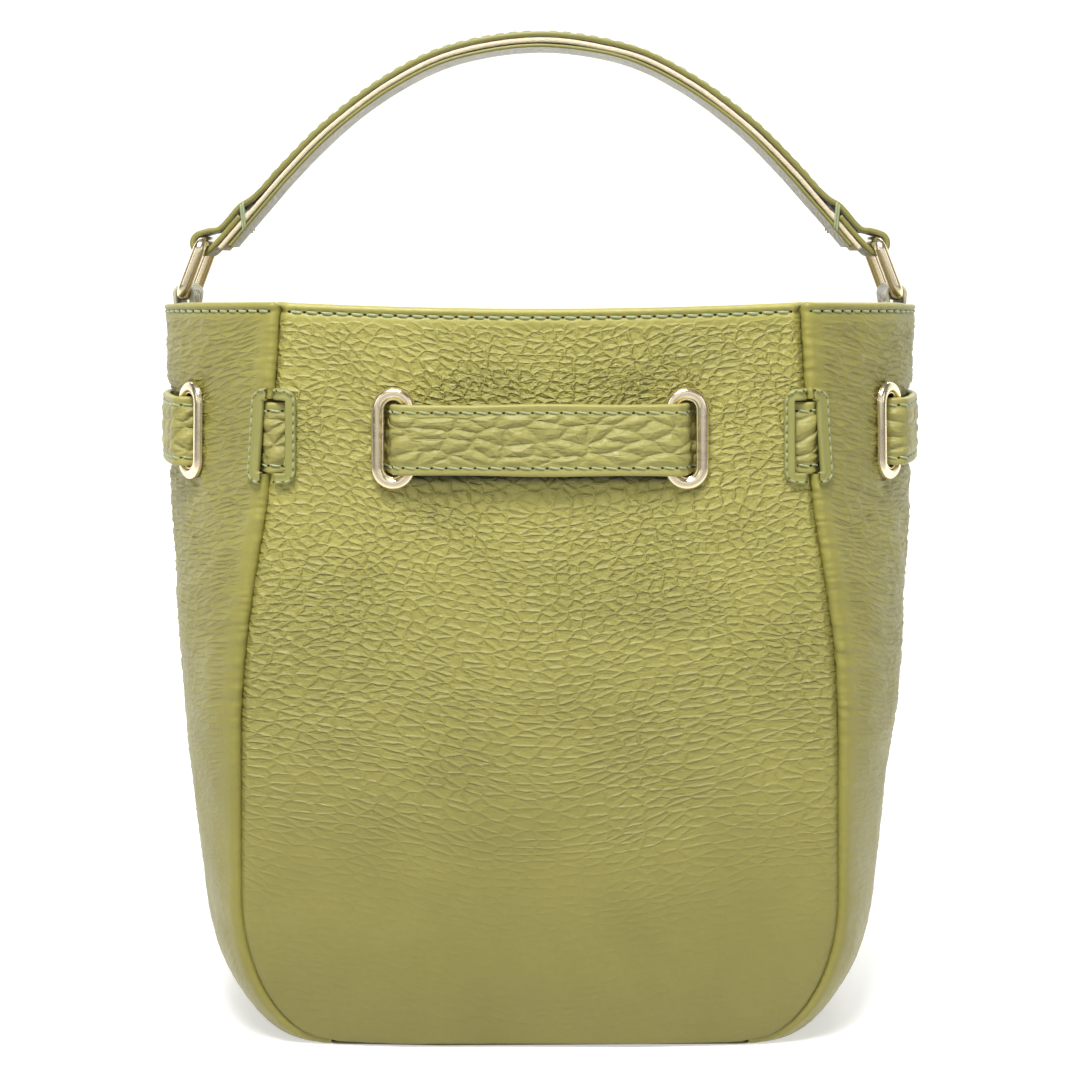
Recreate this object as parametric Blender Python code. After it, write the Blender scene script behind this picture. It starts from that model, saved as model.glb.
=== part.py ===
"""Small leather bucket bag with a threaded belt and a top handle, as its separate pieces.

Metres, +Z up. The origin is the middle of the base, on the surface that the bag stands on.
+X runs along the bag's width and +Y from its plain back to its front, where the belt closes.
"""

import math

import bmesh
import bpy
import numpy as np
from mathutils import Vector

# Body
BODY_HEIGHT = 0.207
SEAM_OUTLINE = [(0.0733, 0.207), (0.0768, 0.157), (0.0813, 0.126), (0.0840, 0.098), (0.0850, 0.042)]
BULGE_OUTLINE = [(0.0417, 0.207), (0.0366, 0.157), (0.0292, 0.126), (0.0238, 0.098), (0.0150, 0.042)]
CORNER_HEIGHT = 0.042
CORNER_WIDTH = 0.026
CORNER_EASE = 0.20
LOWER_FULLNESS = 1.4
SEAM_LIFT = 0.0014
HALF_DEPTH = 0.056
BELLY = 0.002
CROWN = 0.002

# Sheet materials and the gap kept between pieces that touch
LEATHER = 0.0015
SEAM_ALLOWANCE = 0.02
FACING = 0.0010
LINING = 0.0007
GAP = 0.0003

# Belt and the eyelets it is threaded through
BELT_Z = 0.171
BELT_HEIGHT = 0.020
BELT_THICKNESS = 0.0022
BELT_OUTSIDE = 0.0036
BELT_INSIDE = -0.0047
PANEL_EYELET_X = 0.0411
GUSSET_EYELET_T = 0.565
EYELET_OPENING = (0.0058, 0.0220)
EYELET_OUTER = (0.0125, 0.0288)
SLOT = (0.0078, 0.0238)
WINDOW = (0.0716, 0.0778)
PATCH = (0.0685, 0.0812)
PATCH_HEIGHT = 0.025

# Turn lock on the belt's two ends
LOCK_SLOT = (0.0090, 0.0150)
BASE_END_OFFSET = 0.0015
TIP_END_OFFSET = 0.0041
BELT_END_X = 0.014

# Top handle, rings and tabs
RING_LOW = (0.1083, 0.2106)
RING_HIGH = (0.1024, 0.2262)
RING_BAR = 0.00185
RING_HALF_SPAN = 0.0123
STRAP_WIDTH = 0.020
HANDLE_SPINE = [(0.0, 0.2886), (0.0259, 0.2848), (0.0455, 0.2757), (0.0635, 0.2624),
                (0.0771, 0.2489), (0.0853, 0.2395), (0.0992, 0.2233)]
OUTER_LAYER = 0.0016
CORE_LAYER = 0.0015
INNER_LAYER = 0.0011
TAB_LEATHER = 0.0010
TAB_RADIUS = 0.0032

SIDES = (("left", -1), ("right", 1))
FACES = (("back", -1), ("front", 1))

MATERIALS = {
    "olive_leather": ((0.36, 0.33, 0.12), 0.48, 0.0),
    "belt_leather": ((0.40, 0.37, 0.16), 0.48, 0.0),
    "edge_paint": ((0.80, 0.66, 0.52), 0.55, 0.0),
    "lining_fabric": ((0.55, 0.47, 0.33), 0.85, 0.0),
    "board": ((0.30, 0.26, 0.20), 0.80, 0.0),
    "pale_gold": ((0.86, 0.76, 0.50), 0.18, 1.0),
    "magnet_steel": ((0.60, 0.58, 0.55), 0.30, 1.0),
}


def clear_scene():
    for obj in list(bpy.data.objects):
        bpy.data.objects.remove(obj, do_unlink=True)


def material(name):
    """The Principled material of that name, made the first time it is asked for."""
    if name in bpy.data.materials:
        return bpy.data.materials[name]
    colour, roughness, metallic = MATERIALS[name]
    made = bpy.data.materials.new(name)
    made.use_nodes = True
    shader = made.node_tree.nodes["Principled BSDF"]
    shader.inputs["Base Color"].default_value = (*colour, 1.0)
    shader.inputs["Roughness"].default_value = roughness
    shader.inputs["Metallic"].default_value = metallic
    return made


def add_object(name, mesh_builder, slot, parent=None):
    """Turn a finished bmesh into a named object, smooth but for its hard edges."""
    mesh = bpy.data.meshes.new(name)
    mesh_builder.to_mesh(mesh)
    mesh_builder.free()
    mesh.materials.append(material(slot))
    mesh.shade_smooth()
    mesh.set_sharp_from_angle(angle=math.radians(40))
    obj = bpy.data.objects.new(name, mesh)
    bpy.context.scene.collection.objects.link(obj)
    if parent is not None:
        obj.parent = parent
        obj.matrix_parent_inverse = parent.matrix_world.inverted()
    return obj


def pivot(name, location, parent=None):
    """An empty on a joint's axis, which the moving pieces hang from."""
    empty = bpy.data.objects.new(name, None)
    empty.location = location
    bpy.context.scene.collection.objects.link(empty)
    if parent is not None:
        empty.parent = parent
        empty.matrix_parent_inverse = parent.matrix_world.inverted()
    bpy.context.view_layer.update()
    return empty


# Curves and surfaces ---------------------------------------------------------------------


def smooth_through(points, steps):
    """Points along a Catmull-Rom curve through the given points, steps to each stretch."""
    pts = [np.array(p, dtype=float) for p in points]
    pts = [2 * pts[0] - pts[1]] + pts + [2 * pts[-1] - pts[-2]]
    curve = []
    for a, b, c, d in zip(pts, pts[1:], pts[2:], pts[3:]):
        for step in range(steps):
            t = step / steps
            bend = (2 * a - 5 * b + 4 * c - d) * t * t + (3 * b - a - 3 * c + d) * t ** 3
            curve.append(0.5 * (2 * b + (c - a) * t + bend))
    curve.append(pts[-2])
    return curve


def outline_value(outline, height):
    """The first value of a (value, height) outline at a height, on a smooth curve."""
    curve = np.array(smooth_through(outline, 8))
    return float(np.interp(height, curve[::-1, 1], curve[::-1, 0]))


def corner_angle(height):
    """How far round the bottom corner a seam height lies: 0 above it, a right angle below."""
    return max(0.0, 1 - height / CORNER_HEIGHT) * math.pi / 2


def seam(height):
    """Half-width and true height of the seam; below the corner it turns in under the bag."""
    angle = corner_angle(height)
    if angle == 0:
        return outline_value(SEAM_OUTLINE, height), height
    straight = SEAM_OUTLINE[-1][0] - CORNER_WIDTH
    drop = (CORNER_HEIGHT - SEAM_LIFT) * math.sin(angle)
    return straight + CORNER_WIDTH * math.cos(angle), CORNER_HEIGHT - drop


def half_depth(height):
    return HALF_DEPTH + BELLY * math.sin(math.pi * min(max(height / BODY_HEIGHT, 0), 1))


def panel_surface(face):
    """The crowned back or front: u runs from seam to seam, v is the seam height."""
    def point(u, v):
        width, z = seam(v)
        return Vector((u * width, face * (half_depth(z) + CROWN * (1 - u * u)), z))
    return point


def gusset_surface(side):
    """A side, bowed outwards between its seams (t = -1 and 1), fuller and turned in below."""
    def point(t, v):
        width, z = seam(v)
        angle = corner_angle(v)
        across = math.cos(angle) / CORNER_WIDTH
        down = math.sin(angle) / CORNER_HEIGHT
        length = math.hypot(across, down)
        full = min(max((0.150 - v) / 0.060, 0.0), 1.0)
        share = 1 - abs(t) ** (2 + LOWER_FULLNESS * full)
        share *= 1 - CORNER_EASE * math.sin(angle)
        bulge = outline_value(BULGE_OUTLINE, max(v, CORNER_HEIGHT)) * share
        x = width + bulge * across / length
        return Vector((side * x, t * half_depth(z), max(z - bulge * down / length, 0.0)))
    return point


def outward(surface, u, v):
    """The unit normal of a surface, pointing out of the bag."""
    step = 1e-3
    along = surface(u + step, v) - surface(u - step, v)
    top = min(v + step, BODY_HEIGHT)
    normal = along.cross(surface(u, top) - surface(u, top - 2 * step)).normalized()
    place = surface(u, v)
    if normal.dot(place - Vector((0, 0, BODY_HEIGHT / 2))) < 0:
        normal.negate()
    return normal


def on_wall(surface, u, v, offset):
    return surface(u, v) + outward(surface, u, v) * offset


def with_cuts(low, high, count, cuts=()):
    """Evenly spaced values, with the cuts put in place of any that lie close to them."""
    spacing = (high - low) / count
    even = [low + spacing * i for i in range(count + 1)]
    inner = [v for v in even[1:-1] if all(abs(v - c) > spacing * 0.45 for c in cuts)]
    return sorted({low, high, *inner, *[c for c in cuts if low < c < high]})


# Builders --------------------------------------------------------------------------------


def sheet(name, surface, us, vs, outer, thickness, slot, holes=()):
    """A sheet that follows a wall: its outer face lies at an offset, its holes are left open."""
    build = bmesh.new()
    offset = outer if callable(outer) else lambda u, v: outer
    grid = [[build.verts.new(on_wall(surface, u, v, offset(u, v))) for v in vs] for u in us]
    for i in range(len(us) - 1):
        for j in range(len(vs) - 1):
            u = (us[i] + us[i + 1]) / 2
            v = (vs[j] + vs[j + 1]) / 2
            if any(a < u < b and c < v < d for a, b, c, d in holes):
                continue
            build.faces.new((grid[i][j], grid[i + 1][j], grid[i + 1][j + 1], grid[i][j + 1]))
    loose = [v for v in build.verts if not v.link_faces]
    bmesh.ops.delete(build, geom=loose, context="VERTS")
    build.normal_update()
    first = min(build.faces, key=lambda f: f.index)
    middle = first.calc_center_median()
    if first.normal.dot(middle - Vector((0, 0, BODY_HEIGHT / 2))) < 0:
        bmesh.ops.reverse_faces(build, faces=build.faces)
    obj = add_object(name, build, slot)
    solid = obj.modifiers.new("thickness", "SOLIDIFY")
    solid.thickness = thickness
    solid.offset = -1
    solid.use_even_offset = True
    return obj


def loft(name, sections, slot, closed=False, parent=None):
    """A solid through matching rings of points, closed on itself or capped at both ends."""
    build = bmesh.new()
    rings = [[build.verts.new(p) for p in section] for section in sections]
    pairs = list(zip(rings, rings[1:]))
    if closed:
        pairs.append((rings[-1], rings[0]))
    for near, far in pairs:
        for k in range(len(near)):
            n = (k + 1) % len(near)
            build.faces.new((near[k], near[n], far[n], far[k]))
    if not closed:
        build.faces.new(rings[0])
        build.faces.new(rings[-1])
    bmesh.ops.recalc_face_normals(build, faces=build.faces)
    return add_object(name, build, slot, parent)


def prism(name, outline, axis, low, high, slot, parent=None):
    """A flat outline of (a, b) points extruded along one axis, from low to high."""
    def place(a, b, c):
        return {"x": (c, a, b), "y": (a, c, b), "z": (a, b, c)}[axis]
    sections = [[place(a, b, c) for a, b in outline] for c in (low, high)]
    return loft(name, sections, slot, parent=parent)


def circle(radius, count, centre=(0.0, 0.0)):
    return [(centre[0] + radius * math.cos(2 * math.pi * i / count),
             centre[1] + radius * math.sin(2 * math.pi * i / count)) for i in range(count)]


def stadium(width, height, arc_steps):
    """Points round an upright stadium, with the direction that points out of it at each."""
    radius = width / 2
    straight = height / 2 - radius
    ring = []
    for end, start in ((1, 0.0), (-1, math.pi)):
        for i in range(arc_steps + 1):
            angle = start + math.pi * i / arc_steps
            out = (math.cos(angle), math.sin(angle))
            ring.append(((radius * out[0], end * straight + radius * out[1]), out))
    return ring


def stadium_ring(name, wall, width, height, profile, slot, arc_steps=7):
    """A ring of constant profile round a stadium; wall gives its centre and three directions."""
    centre, across, up, normal = wall
    sections = []
    for (a, b), (out_a, out_b) in stadium(width, height, arc_steps):
        section = []
        for reach, level in profile:
            flat = across * (a + out_a * reach) + up * (b + out_b * reach)
            section.append(centre + flat + normal * level)
        sections.append(section)
    return loft(name, sections, slot, closed=True)


def both_faces(path, thickness):
    """The two faces of a strap whose middle follows a flat path, as two lists of points."""
    faces = ([], [])
    for i, point in enumerate(path):
        along = np.array(path[min(i + 1, len(path) - 1)]) - np.array(path[max(i - 1, 0)])
        normal = np.array((-along[1], along[0])) * thickness / 2 / np.linalg.norm(along)
        faces[0].append(np.array(point) + normal)
        faces[1].append(np.array(point) - normal)
    return faces


def ribbon(name, path, thickness, slot, parent=None):
    """A strap of the handle's width that follows a path of (x, z) points, capped at its ends."""
    sections = []
    half = STRAP_WIDTH / 2
    for top, low in zip(*both_faces(path, thickness)):
        sections.append([(top[0], -half, top[1]), (top[0], half, top[1]),
                         (low[0], half, low[1]), (low[0], -half, low[1])])
    return loft(name, sections, slot, parent=parent)


# Body ------------------------------------------------------------------------------------


def panel_u(x):
    """The panel's u at a half-width x, at the belt's height."""
    return x / seam(BELT_Z)[0]


def gusset_step(distance):
    """The change of t that covers a distance along a gusset, near its eyelets."""
    bulge = outline_value(BULGE_OUTLINE, BELT_Z)
    return distance / math.hypot(2 * bulge * GUSSET_EYELET_T, half_depth(BELT_Z))


def slot_rows():
    return BELT_Z - SLOT[1] / 2, BELT_Z + SLOT[1] / 2


def make_shell():
    """The four leather walls, with their eyelet slots and the windows cut into the seams."""
    low, high = slot_rows()
    rows = with_cuts(CORNER_HEIGHT, BODY_HEIGHT, 9, (low, high))
    rows = [CORNER_HEIGHT * i / 6 for i in range(6)] + rows
    slot_in, slot_out = (panel_u(PANEL_EYELET_X + s * SLOT[0] / 2) for s in (-1, 1))
    window = panel_u(WINDOW[0])
    edge = 1 + SEAM_ALLOWANCE
    us = with_cuts(-edge, edge, 10, (-window, -slot_out, -slot_in, slot_in, slot_out, window))
    holes = [(slot_in, slot_out, low, high), (-slot_out, -slot_in, low, high),
             (window, edge, low, high), (-edge, -window, low, high)]
    for face_name, face in FACES:
        sheet(f"{face_name}_panel", panel_surface(face), us, rows, 0.0, LEATHER,
              "olive_leather", holes)
    edge = 1 - (LEATHER + GAP) / HALF_DEPTH
    notch = edge - 0.022
    reach = gusset_step(SLOT[0] / 2)
    near, far = GUSSET_EYELET_T - reach, GUSSET_EYELET_T + reach
    ts = with_cuts(-edge, edge, 10, (-notch, -far, -near, near, far, notch))
    holes = [(near, far, low, high), (-far, -near, low, high),
             (notch, edge, low, high), (-edge, -notch, low, high)]
    for side_name, side in SIDES:
        sheet(f"{side_name}_gusset", gusset_surface(side), ts, rows, 0.0, LEATHER,
              "olive_leather", holes)


def make_base():
    """The base leather between the gussets' ends and the stiff board that lies on it."""
    half_x = SEAM_OUTLINE[-1][0] - CORNER_WIDTH - 2 * GAP
    half_y = HALF_DEPTH - LEATHER - GAP
    sole = [(-half_x, -half_y), (half_x, -half_y), (half_x, half_y), (-half_x, half_y)]
    prism("base_panel", sole, "z", 0.0, LEATHER, "olive_leather")
    board = [(x * 0.99, y * 0.90) for x, y in sole]
    prism("base_board", board, "z", 0.0018, 0.0038, "board")


def make_facings():
    """The leather band inside the rim; at each side it leaves room for the handle's tab."""
    rows = with_cuts(BODY_HEIGHT - 0.019, BODY_HEIGHT, 2, (BODY_HEIGHT - 0.014,))
    outer = -(LEATHER + GAP)
    for face_name, face in FACES:
        us = with_cuts(-0.955, 0.955, 4)
        sheet(f"{face_name}_facing", panel_surface(face), us, rows, outer, FACING, "olive_leather")
    notch = 0.40
    ts = with_cuts(-0.93, 0.93, 8, (-notch, notch))
    holes = [(-notch, notch, BODY_HEIGHT - 0.014, BODY_HEIGHT)]
    for side_name, side in SIDES:
        sheet(f"{side_name}_facing", gusset_surface(side), ts, rows, outer, FACING,
              "olive_leather", holes)


def lining_offset(u, v):
    """The lining lies close to the leather low down and inside the belt higher up."""
    rise = min(max((v - 0.125) / 0.020, 0.0), 1.0)
    return -(0.0024 + 0.0044 * rise * rise * (3 - 2 * rise))


def make_lining():
    """A loose inner bag of five fabric sheets, with one open pocket on its front sheet."""
    top = BODY_HEIGHT - 0.022
    for face_name, face in FACES:
        rows = with_cuts(0.020, top, 8)
        sheet(f"lining_{face_name}", panel_surface(face), with_cuts(-0.92, 0.92, 4), rows,
              lining_offset, LINING, "lining_fabric")
    for side_name, side in SIDES:
        rows = with_cuts(0.030, top, 8)
        sheet(f"lining_{side_name}", gusset_surface(side), with_cuts(-0.86, 0.86, 8), rows,
              lining_offset, LINING, "lining_fabric")
    floor = [(-0.062, -0.047), (0.062, -0.047), (0.062, 0.047), (-0.062, 0.047)]
    prism("lining_base", floor, "z", 0.0042, 0.0049, "lining_fabric")
    pocket = -(0.0024 + LINING + GAP)
    sheet("slip_pocket", panel_surface(1), with_cuts(-0.60, 0.60, 2), with_cuts(0.045, 0.118, 2),
          pocket, LINING, "lining_fabric")


# Hardware and trim on the walls --------------------------------------------------------------


def wall_frame(surface, u):
    """Centre, sideways, upward and outward directions of a wall at the belt's height."""
    normal = outward(surface, u, BELT_Z)
    across = Vector((0, 0, 1)).cross(normal).normalized()
    return surface(u, BELT_Z), across, normal.cross(across), normal


def eyelet_profile():
    """Lip, groove and main bead outside the leather, and the barrel that goes through it."""
    lip = (EYELET_OUTER[0] - EYELET_OPENING[0]) / 2
    return [(0.0, 0.0012), (0.0007, 0.0019), (0.0019, 0.0019), (lip, 0.0009), (lip, 0.0003),
            (0.0005, 0.0003), (0.0005, -0.0029), (0.0, -0.0029)]


def make_eyelets():
    """Eight oblong eyelets: two in each of the four walls, each over its own backing washer."""
    backing = [(0.0009, -0.0021), (0.0030, -0.0021), (0.0030, -0.0028), (0.0009, -0.0028)]
    for face_name, face in FACES:
        for side_name, side in SIDES:
            places = {
                "eyelet": (panel_surface(face), side * panel_u(PANEL_EYELET_X)),
                "side_eyelet": (gusset_surface(side), face * GUSSET_EYELET_T),
            }
            for kind, (surface, u) in places.items():
                wall = wall_frame(surface, u)
                where = f"{face_name}_{side_name}"
                stadium_ring(f"{kind}_{where}", wall, *EYELET_OPENING, eyelet_profile(), "pale_gold")
                stadium_ring(f"{kind}_washer_{where}", wall, *EYELET_OPENING, backing, "magnet_steel")


def make_patches():
    """The stitched frame round each window, half on the panel and half on the gusset."""
    rows = [BELT_Z - PATCH_HEIGHT / 2, BELT_Z - BELT_HEIGHT / 2,
            BELT_Z + BELT_HEIGHT / 2, BELT_Z + PATCH_HEIGHT / 2]
    outer = 0.0003 + FACING
    start, window, end = (panel_u(x) for x in (PATCH[0], WINDOW[0], 0.0750))
    bulge = outline_value(BULGE_OUTLINE, BELT_Z)
    ts = [math.sqrt(1 - (x - seam(BELT_Z)[0]) / bulge) for x in (0.0772, WINDOW[1] + 0.0006, PATCH[1])]
    for face_name, face in FACES:
        for side_name, side in SIDES:
            us = sorted(side * u for u in (start, window, end))
            hole = (*sorted((side * window, side * end)), rows[1], rows[2])
            where = f"{face_name}_{side_name}"
            sheet(f"panel_patch_{where}", panel_surface(face), us, rows, outer, FACING,
                  "olive_leather", [hole])
            turned = sorted(face * t for t in ts)
            hole = (*sorted((face * ts[0], face * ts[1])), rows[1], rows[2])
            sheet(f"gusset_patch_{where}", gusset_surface(side), turned, rows, outer, FACING,
                  "olive_leather", [hole])


def make_magnets():
    """The two halves of a magnetic snap, each fixed inside the rim on its facing."""
    height = BODY_HEIGHT - 0.0095
    wall = half_depth(height) + CROWN
    seat = wall - LEATHER - FACING - 2 * GAP - 0.0001
    for face_name, face, boss in (("back", -1, 0.0012), ("front", 1, 0.0)):
        levels = [(0.0070, seat), (0.0070, seat - 0.0022), (0.0024, seat - 0.0022)]
        if boss:
            levels.append((0.0024, seat - 0.0022 - boss))
        sections = [[(x, face * y, z) for x, z in circle(r, 16, (0.0, height))] for r, y in levels]
        loft(f"magnet_{face_name}", sections, "magnet_steel")


# Belt and lock -------------------------------------------------------------------------------


def wall_spot(surface, u, offset):
    place = on_wall(surface, u, BELT_Z, offset)
    return place.x, place.y


def quarter_route(side, face):
    """The belt's route from outside a panel, in through its eyelet, and out at the side."""
    panel, gusset = panel_surface(face), gusset_surface(side)
    dive = [(-0.0040, BELT_OUTSIDE), (-0.0026, BELT_OUTSIDE), (-0.0010, 0.0023), (0.0, -0.0005),
            (0.0010, -0.0034), (0.0026, BELT_INSIDE), (0.0040, BELT_INSIDE)]
    route = [wall_spot(panel, side * panel_u(PANEL_EYELET_X + d), o) for d, o in dive]
    for x, offset in ((0.052, BELT_INSIDE), (0.063, BELT_INSIDE), (0.0705, BELT_INSIDE - 0.0004)):
        route.append(wall_spot(panel, side * panel_u(x), offset))
    for t, offset in ((0.90, BELT_INSIDE - 0.0006), (0.78, BELT_INSIDE)):
        route.append(wall_spot(gusset, face * t, offset))
    for distance, offset in reversed(dive):
        t = GUSSET_EYELET_T + gusset_step(distance)
        route.append(wall_spot(gusset, face * t, offset))
    route.append(wall_spot(gusset, face * 0.38, BELT_OUTSIDE))
    route.append(wall_spot(gusset, face * 0.19, BELT_OUTSIDE))
    return route


def belt_route():
    """The whole strap: from its base end at the front, round the bag, to its tip end."""
    front = panel_surface(1)
    apex_left, apex_right = (wall_spot(gusset_surface(s), 0.0, BELT_OUTSIDE) for s in (-1, 1))
    route = [wall_spot(front, panel_u(x), BASE_END_OFFSET)
             for x in (BELT_END_X, 0.005, -0.005, -BELT_END_X, -0.024)]
    route += quarter_route(-1, 1) + [apex_left] + quarter_route(-1, -1)[::-1]
    route += [wall_spot(panel_surface(-1), panel_u(x), BELT_OUTSIDE) for x in (-0.018, 0.0, 0.018)]
    route += quarter_route(1, -1) + [apex_right] + quarter_route(1, 1)[::-1]
    half_slot = LOCK_SLOT[0] / 2
    route += [wall_spot(front, panel_u(x), TIP_END_OFFSET)
              for x in (0.026, BELT_END_X, half_slot, -half_slot, -BELT_END_X)]
    return route


def make_belt():
    """One flat strap with square edges, and the tip end's slot for the turn lock."""
    half = BELT_HEIGHT / 2
    low, high = (0, 0, BELT_Z - half), (0, 0, BELT_Z + half)
    sections = []
    for outer, inner in zip(*both_faces(smooth_through(belt_route(), 2), BELT_THICKNESS)):
        corners = [Vector((*outer, 0)), Vector((*inner, 0))]
        sections.append([corners[0] + Vector(low), corners[0] + Vector(high),
                         corners[1] + Vector(high), corners[1] + Vector(low)])
    belt = loft("belt", sections, "belt_leather")
    tip = half_depth(BELT_Z) + CROWN + TIP_END_OFFSET
    slot = [(a, BELT_Z + b) for (a, b), out in stadium(*LOCK_SLOT, 5)]
    reach = BELT_THICKNESS / 2 + GAP / 2
    cutter = prism("tip_slot", slot, "y", tip - reach, tip + reach, "belt_leather")
    cutter.hide_render = True
    cutter.display_type = "WIRE"
    cut = belt.modifiers.new("tip slot", "BOOLEAN")
    cut.operation = "DIFFERENCE"
    cut.solver = "EXACT"
    cut.object = cutter


def make_lock():
    """A turn lock: its base on the belt's base end, a frame in the tip end, and the knob."""
    wall = half_depth(BELT_Z) + CROWN
    plate_low = wall + BASE_END_OFFSET + BELT_THICKNESS / 2 + GAP
    plate_high = plate_low + 0.0012
    frame_low = wall + TIP_END_OFFSET + BELT_THICKNESS / 2 + GAP
    frame_high = frame_low + 0.0012
    knob_low = frame_high + 0.0007
    plate = [point for point, out in stadium(0.0070, 0.0130, 6)]
    bar = [point for point, out in stadium(0.0056, 0.0120, 6)]
    levels = [(plate, plate_low), (plate, plate_high)]
    post = [(a * 0.5, b * 0.27) for a, b in plate]
    levels += [(post, plate_high), (post, knob_low - GAP)]
    sections = [[(a, y, BELT_Z + b) for a, b in ring] for ring, y in levels]
    loft("lock_base", sections, "pale_gold")
    direction = Vector((0, 1, 0))
    frame = (Vector((0, 0, BELT_Z)), Vector((-1, 0, 0)), Vector((0, 0, 1)), direction)
    profile = [(0.0003, frame_low), (0.0021, frame_low), (0.0021, frame_high), (0.0003, frame_high)]
    stadium_ring("lock_frame", frame, *LOCK_SLOT, profile, "pale_gold")
    axis = pivot("lock_axis", (0, knob_low, BELT_Z))
    turned = [(b, BELT_Z + a) for a, b in bar]
    rounded = [(b * 0.86, BELT_Z + a * 0.72) for a, b in bar]
    levels = [(turned, knob_low), (turned, knob_low + 0.0016), (rounded, knob_low + 0.0024)]
    sections = [[(a, y, b) for a, b in ring] for ring, y in levels]
    loft("lock_knob", sections, "pale_gold", parent=axis)


# Handle, rings and tabs ----------------------------------------------------------------------


def mirrored(half):
    """A path from left to right, from its right half that starts on the centre line."""
    left = [np.array((-x, z)) for x, z in half[:0:-1]]
    return left + list(half)


class Spine:
    """The handle's centre curve, read by the distance before its end under a ring's bar."""

    def __init__(self, outline):
        whole = smooth_through(mirrored(outline), 12)
        self.points = np.array(whole[len(whole) // 2:])
        steps = np.linalg.norm(np.diff(self.points, axis=0), axis=1)
        self.distance = np.concatenate([[0.0], np.cumsum(steps)])
        self.length = self.distance[-1]

    def spot(self, before_end, raised):
        """The point at a distance before the end, raised above the curve."""
        at = [self.length - before_end + d for d in (-0.0005, 0.0, 0.0005)]
        behind, here, ahead = (np.array([np.interp(d, self.distance, self.points[:, k])
                                         for k in (0, 1)]) for d in at)
        along = (ahead - behind) / np.linalg.norm(ahead - behind)
        return here + np.array((-along[1], along[0])) * raised

    def half(self, end, raised, count):
        """Points from the crown to a distance before the end, closer together near the end."""
        span = self.length - end
        return [self.spot(end + span * (1 - i / count), raised) for i in range(count + 1)]


def outer_half(spine):
    """The outer layer: along the handle, over the ring's bar, round it, and back underneath."""
    lie = GAP + OUTER_LAYER / 2
    loop = RING_BAR + 0.00055 + OUTER_LAYER / 2
    path = spine.half(0.026, lie, 11)
    path += [spine.spot(a, lie + b) for a, b in ((0.020, 0.0007), (0.0155, 0.0020), (0.0072, 0.0021))]
    bar = spine.spot(0.0, lie + loop)
    up = (bar - spine.spot(0.0, 0.0)) / (lie + loop)
    direction = np.array((up[1], -up[0]))
    path.append(spine.spot(0.0043, lie + 0.0042))
    for degrees in range(125, -91, -24):
        angle = math.radians(degrees)
        path.append(bar + loop * (direction * math.cos(angle) + up * math.sin(angle)))
    return path + [spine.spot(a, lie) for a in (0.004, 0.009, 0.0135)]


def make_handle(parent):
    spine = Spine(HANDLE_SPINE)
    ribbon("handle_outer", mirrored(outer_half(spine)), OUTER_LAYER, "olive_leather", parent)
    core = spine.half(0.0020, -CORE_LAYER / 2, 13)
    ribbon("handle_core", mirrored(core), CORE_LAYER, "edge_paint", parent)
    inner = spine.half(0.0045, -(CORE_LAYER + GAP + INNER_LAYER / 2), 13)
    ribbon("handle_inner", mirrored(inner), INNER_LAYER, "olive_leather", parent)


def make_ring(name, side, parent):
    """A rounded oblong ring that leans inwards, its two long bars parallel to Y."""
    low, high = np.array(RING_LOW), np.array(RING_HIGH)
    rise = np.linalg.norm(high - low)
    up = (high - low) / rise
    radius = 0.0030
    spots = []
    for turn in range(4):
        corner_y = (1, -1, -1, 1)[turn] * (RING_HALF_SPAN - radius)
        corner_h = (1, 1, -1, -1)[turn] * (rise / 2 - radius)
        for step in range(4):
            angle = math.pi / 2 * (turn + step / 3)
            out = (math.cos(angle), math.sin(angle))
            spots.append((corner_y + radius * out[0], corner_h + radius * out[1], out))
    centre = (low + high) / 2
    sections = []
    for y, h, out in spots:
        section = []
        for a, b in circle(RING_BAR, 8):
            height = h + a * out[1]
            x = centre[0] + up[0] * height + up[1] * b
            z = centre[1] + up[1] * height - up[0] * b
            section.append((side * x, y + a * out[0], z))
        sections.append(section)
    loft(name, sections, "pale_gold", closed=True, parent=parent)


def make_tab(side_name, side, parent):
    """The leather loop round the ring's lower bar, and its root sewn inside the rim."""
    centre = (side * RING_LOW[0], RING_LOW[1])
    half = STRAP_WIDTH / 2
    sections = []
    for (a, b), (c, d) in zip(circle(TAB_RADIUS, 12, centre),
                              circle(TAB_RADIUS - TAB_LEATHER, 12, centre)):
        sections.append([(a, -half, b), (a, half, b), (c, half, d), (c, -half, d)])
    loft(f"{side_name}_tab", sections, "olive_leather", closed=True, parent=parent)
    outline = [(-half, 0.182), (half, 0.182), (half, 0.1955), (0.004, 0.1995),
               (-0.004, 0.1995), (-half, 0.1955)]
    sections = []
    for thickness in (-0.0008, 0.0008):
        lean = [0.1095 - 0.07 * (z - 0.182) for y, z in outline]
        sections.append([(side * (x + thickness), y, z) for x, (y, z) in zip(lean, outline)])
    loft(f"{side_name}_tab_anchor", sections, "olive_leather")


def make_handle_assembly():
    """Both tabs swing about one line along X; rings and handle hang from them in a chain."""
    swing_height = 0.2072
    swings = {name: pivot(f"{name}_swing_axis", (side * RING_LOW[0], 0, swing_height))
              for name, side in SIDES}
    tilts = {}
    for name, side in SIDES:
        place = (side * RING_LOW[0], 0, RING_LOW[1])
        tilts[name] = pivot(f"{name}_ring_axis", place, swings[name])
        make_tab(name, side, swings[name])
        make_ring(f"{name}_ring", side, tilts[name])
    handle_axis = pivot("handle_axis", (-RING_HIGH[0], 0, RING_HIGH[1]), tilts["left"])
    make_handle(handle_axis)


def main():
    clear_scene()
    make_shell()
    make_base()
    make_facings()
    make_lining()
    make_eyelets()
    make_patches()
    make_magnets()
    make_belt()
    make_lock()
    make_handle_assembly()


main()
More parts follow.
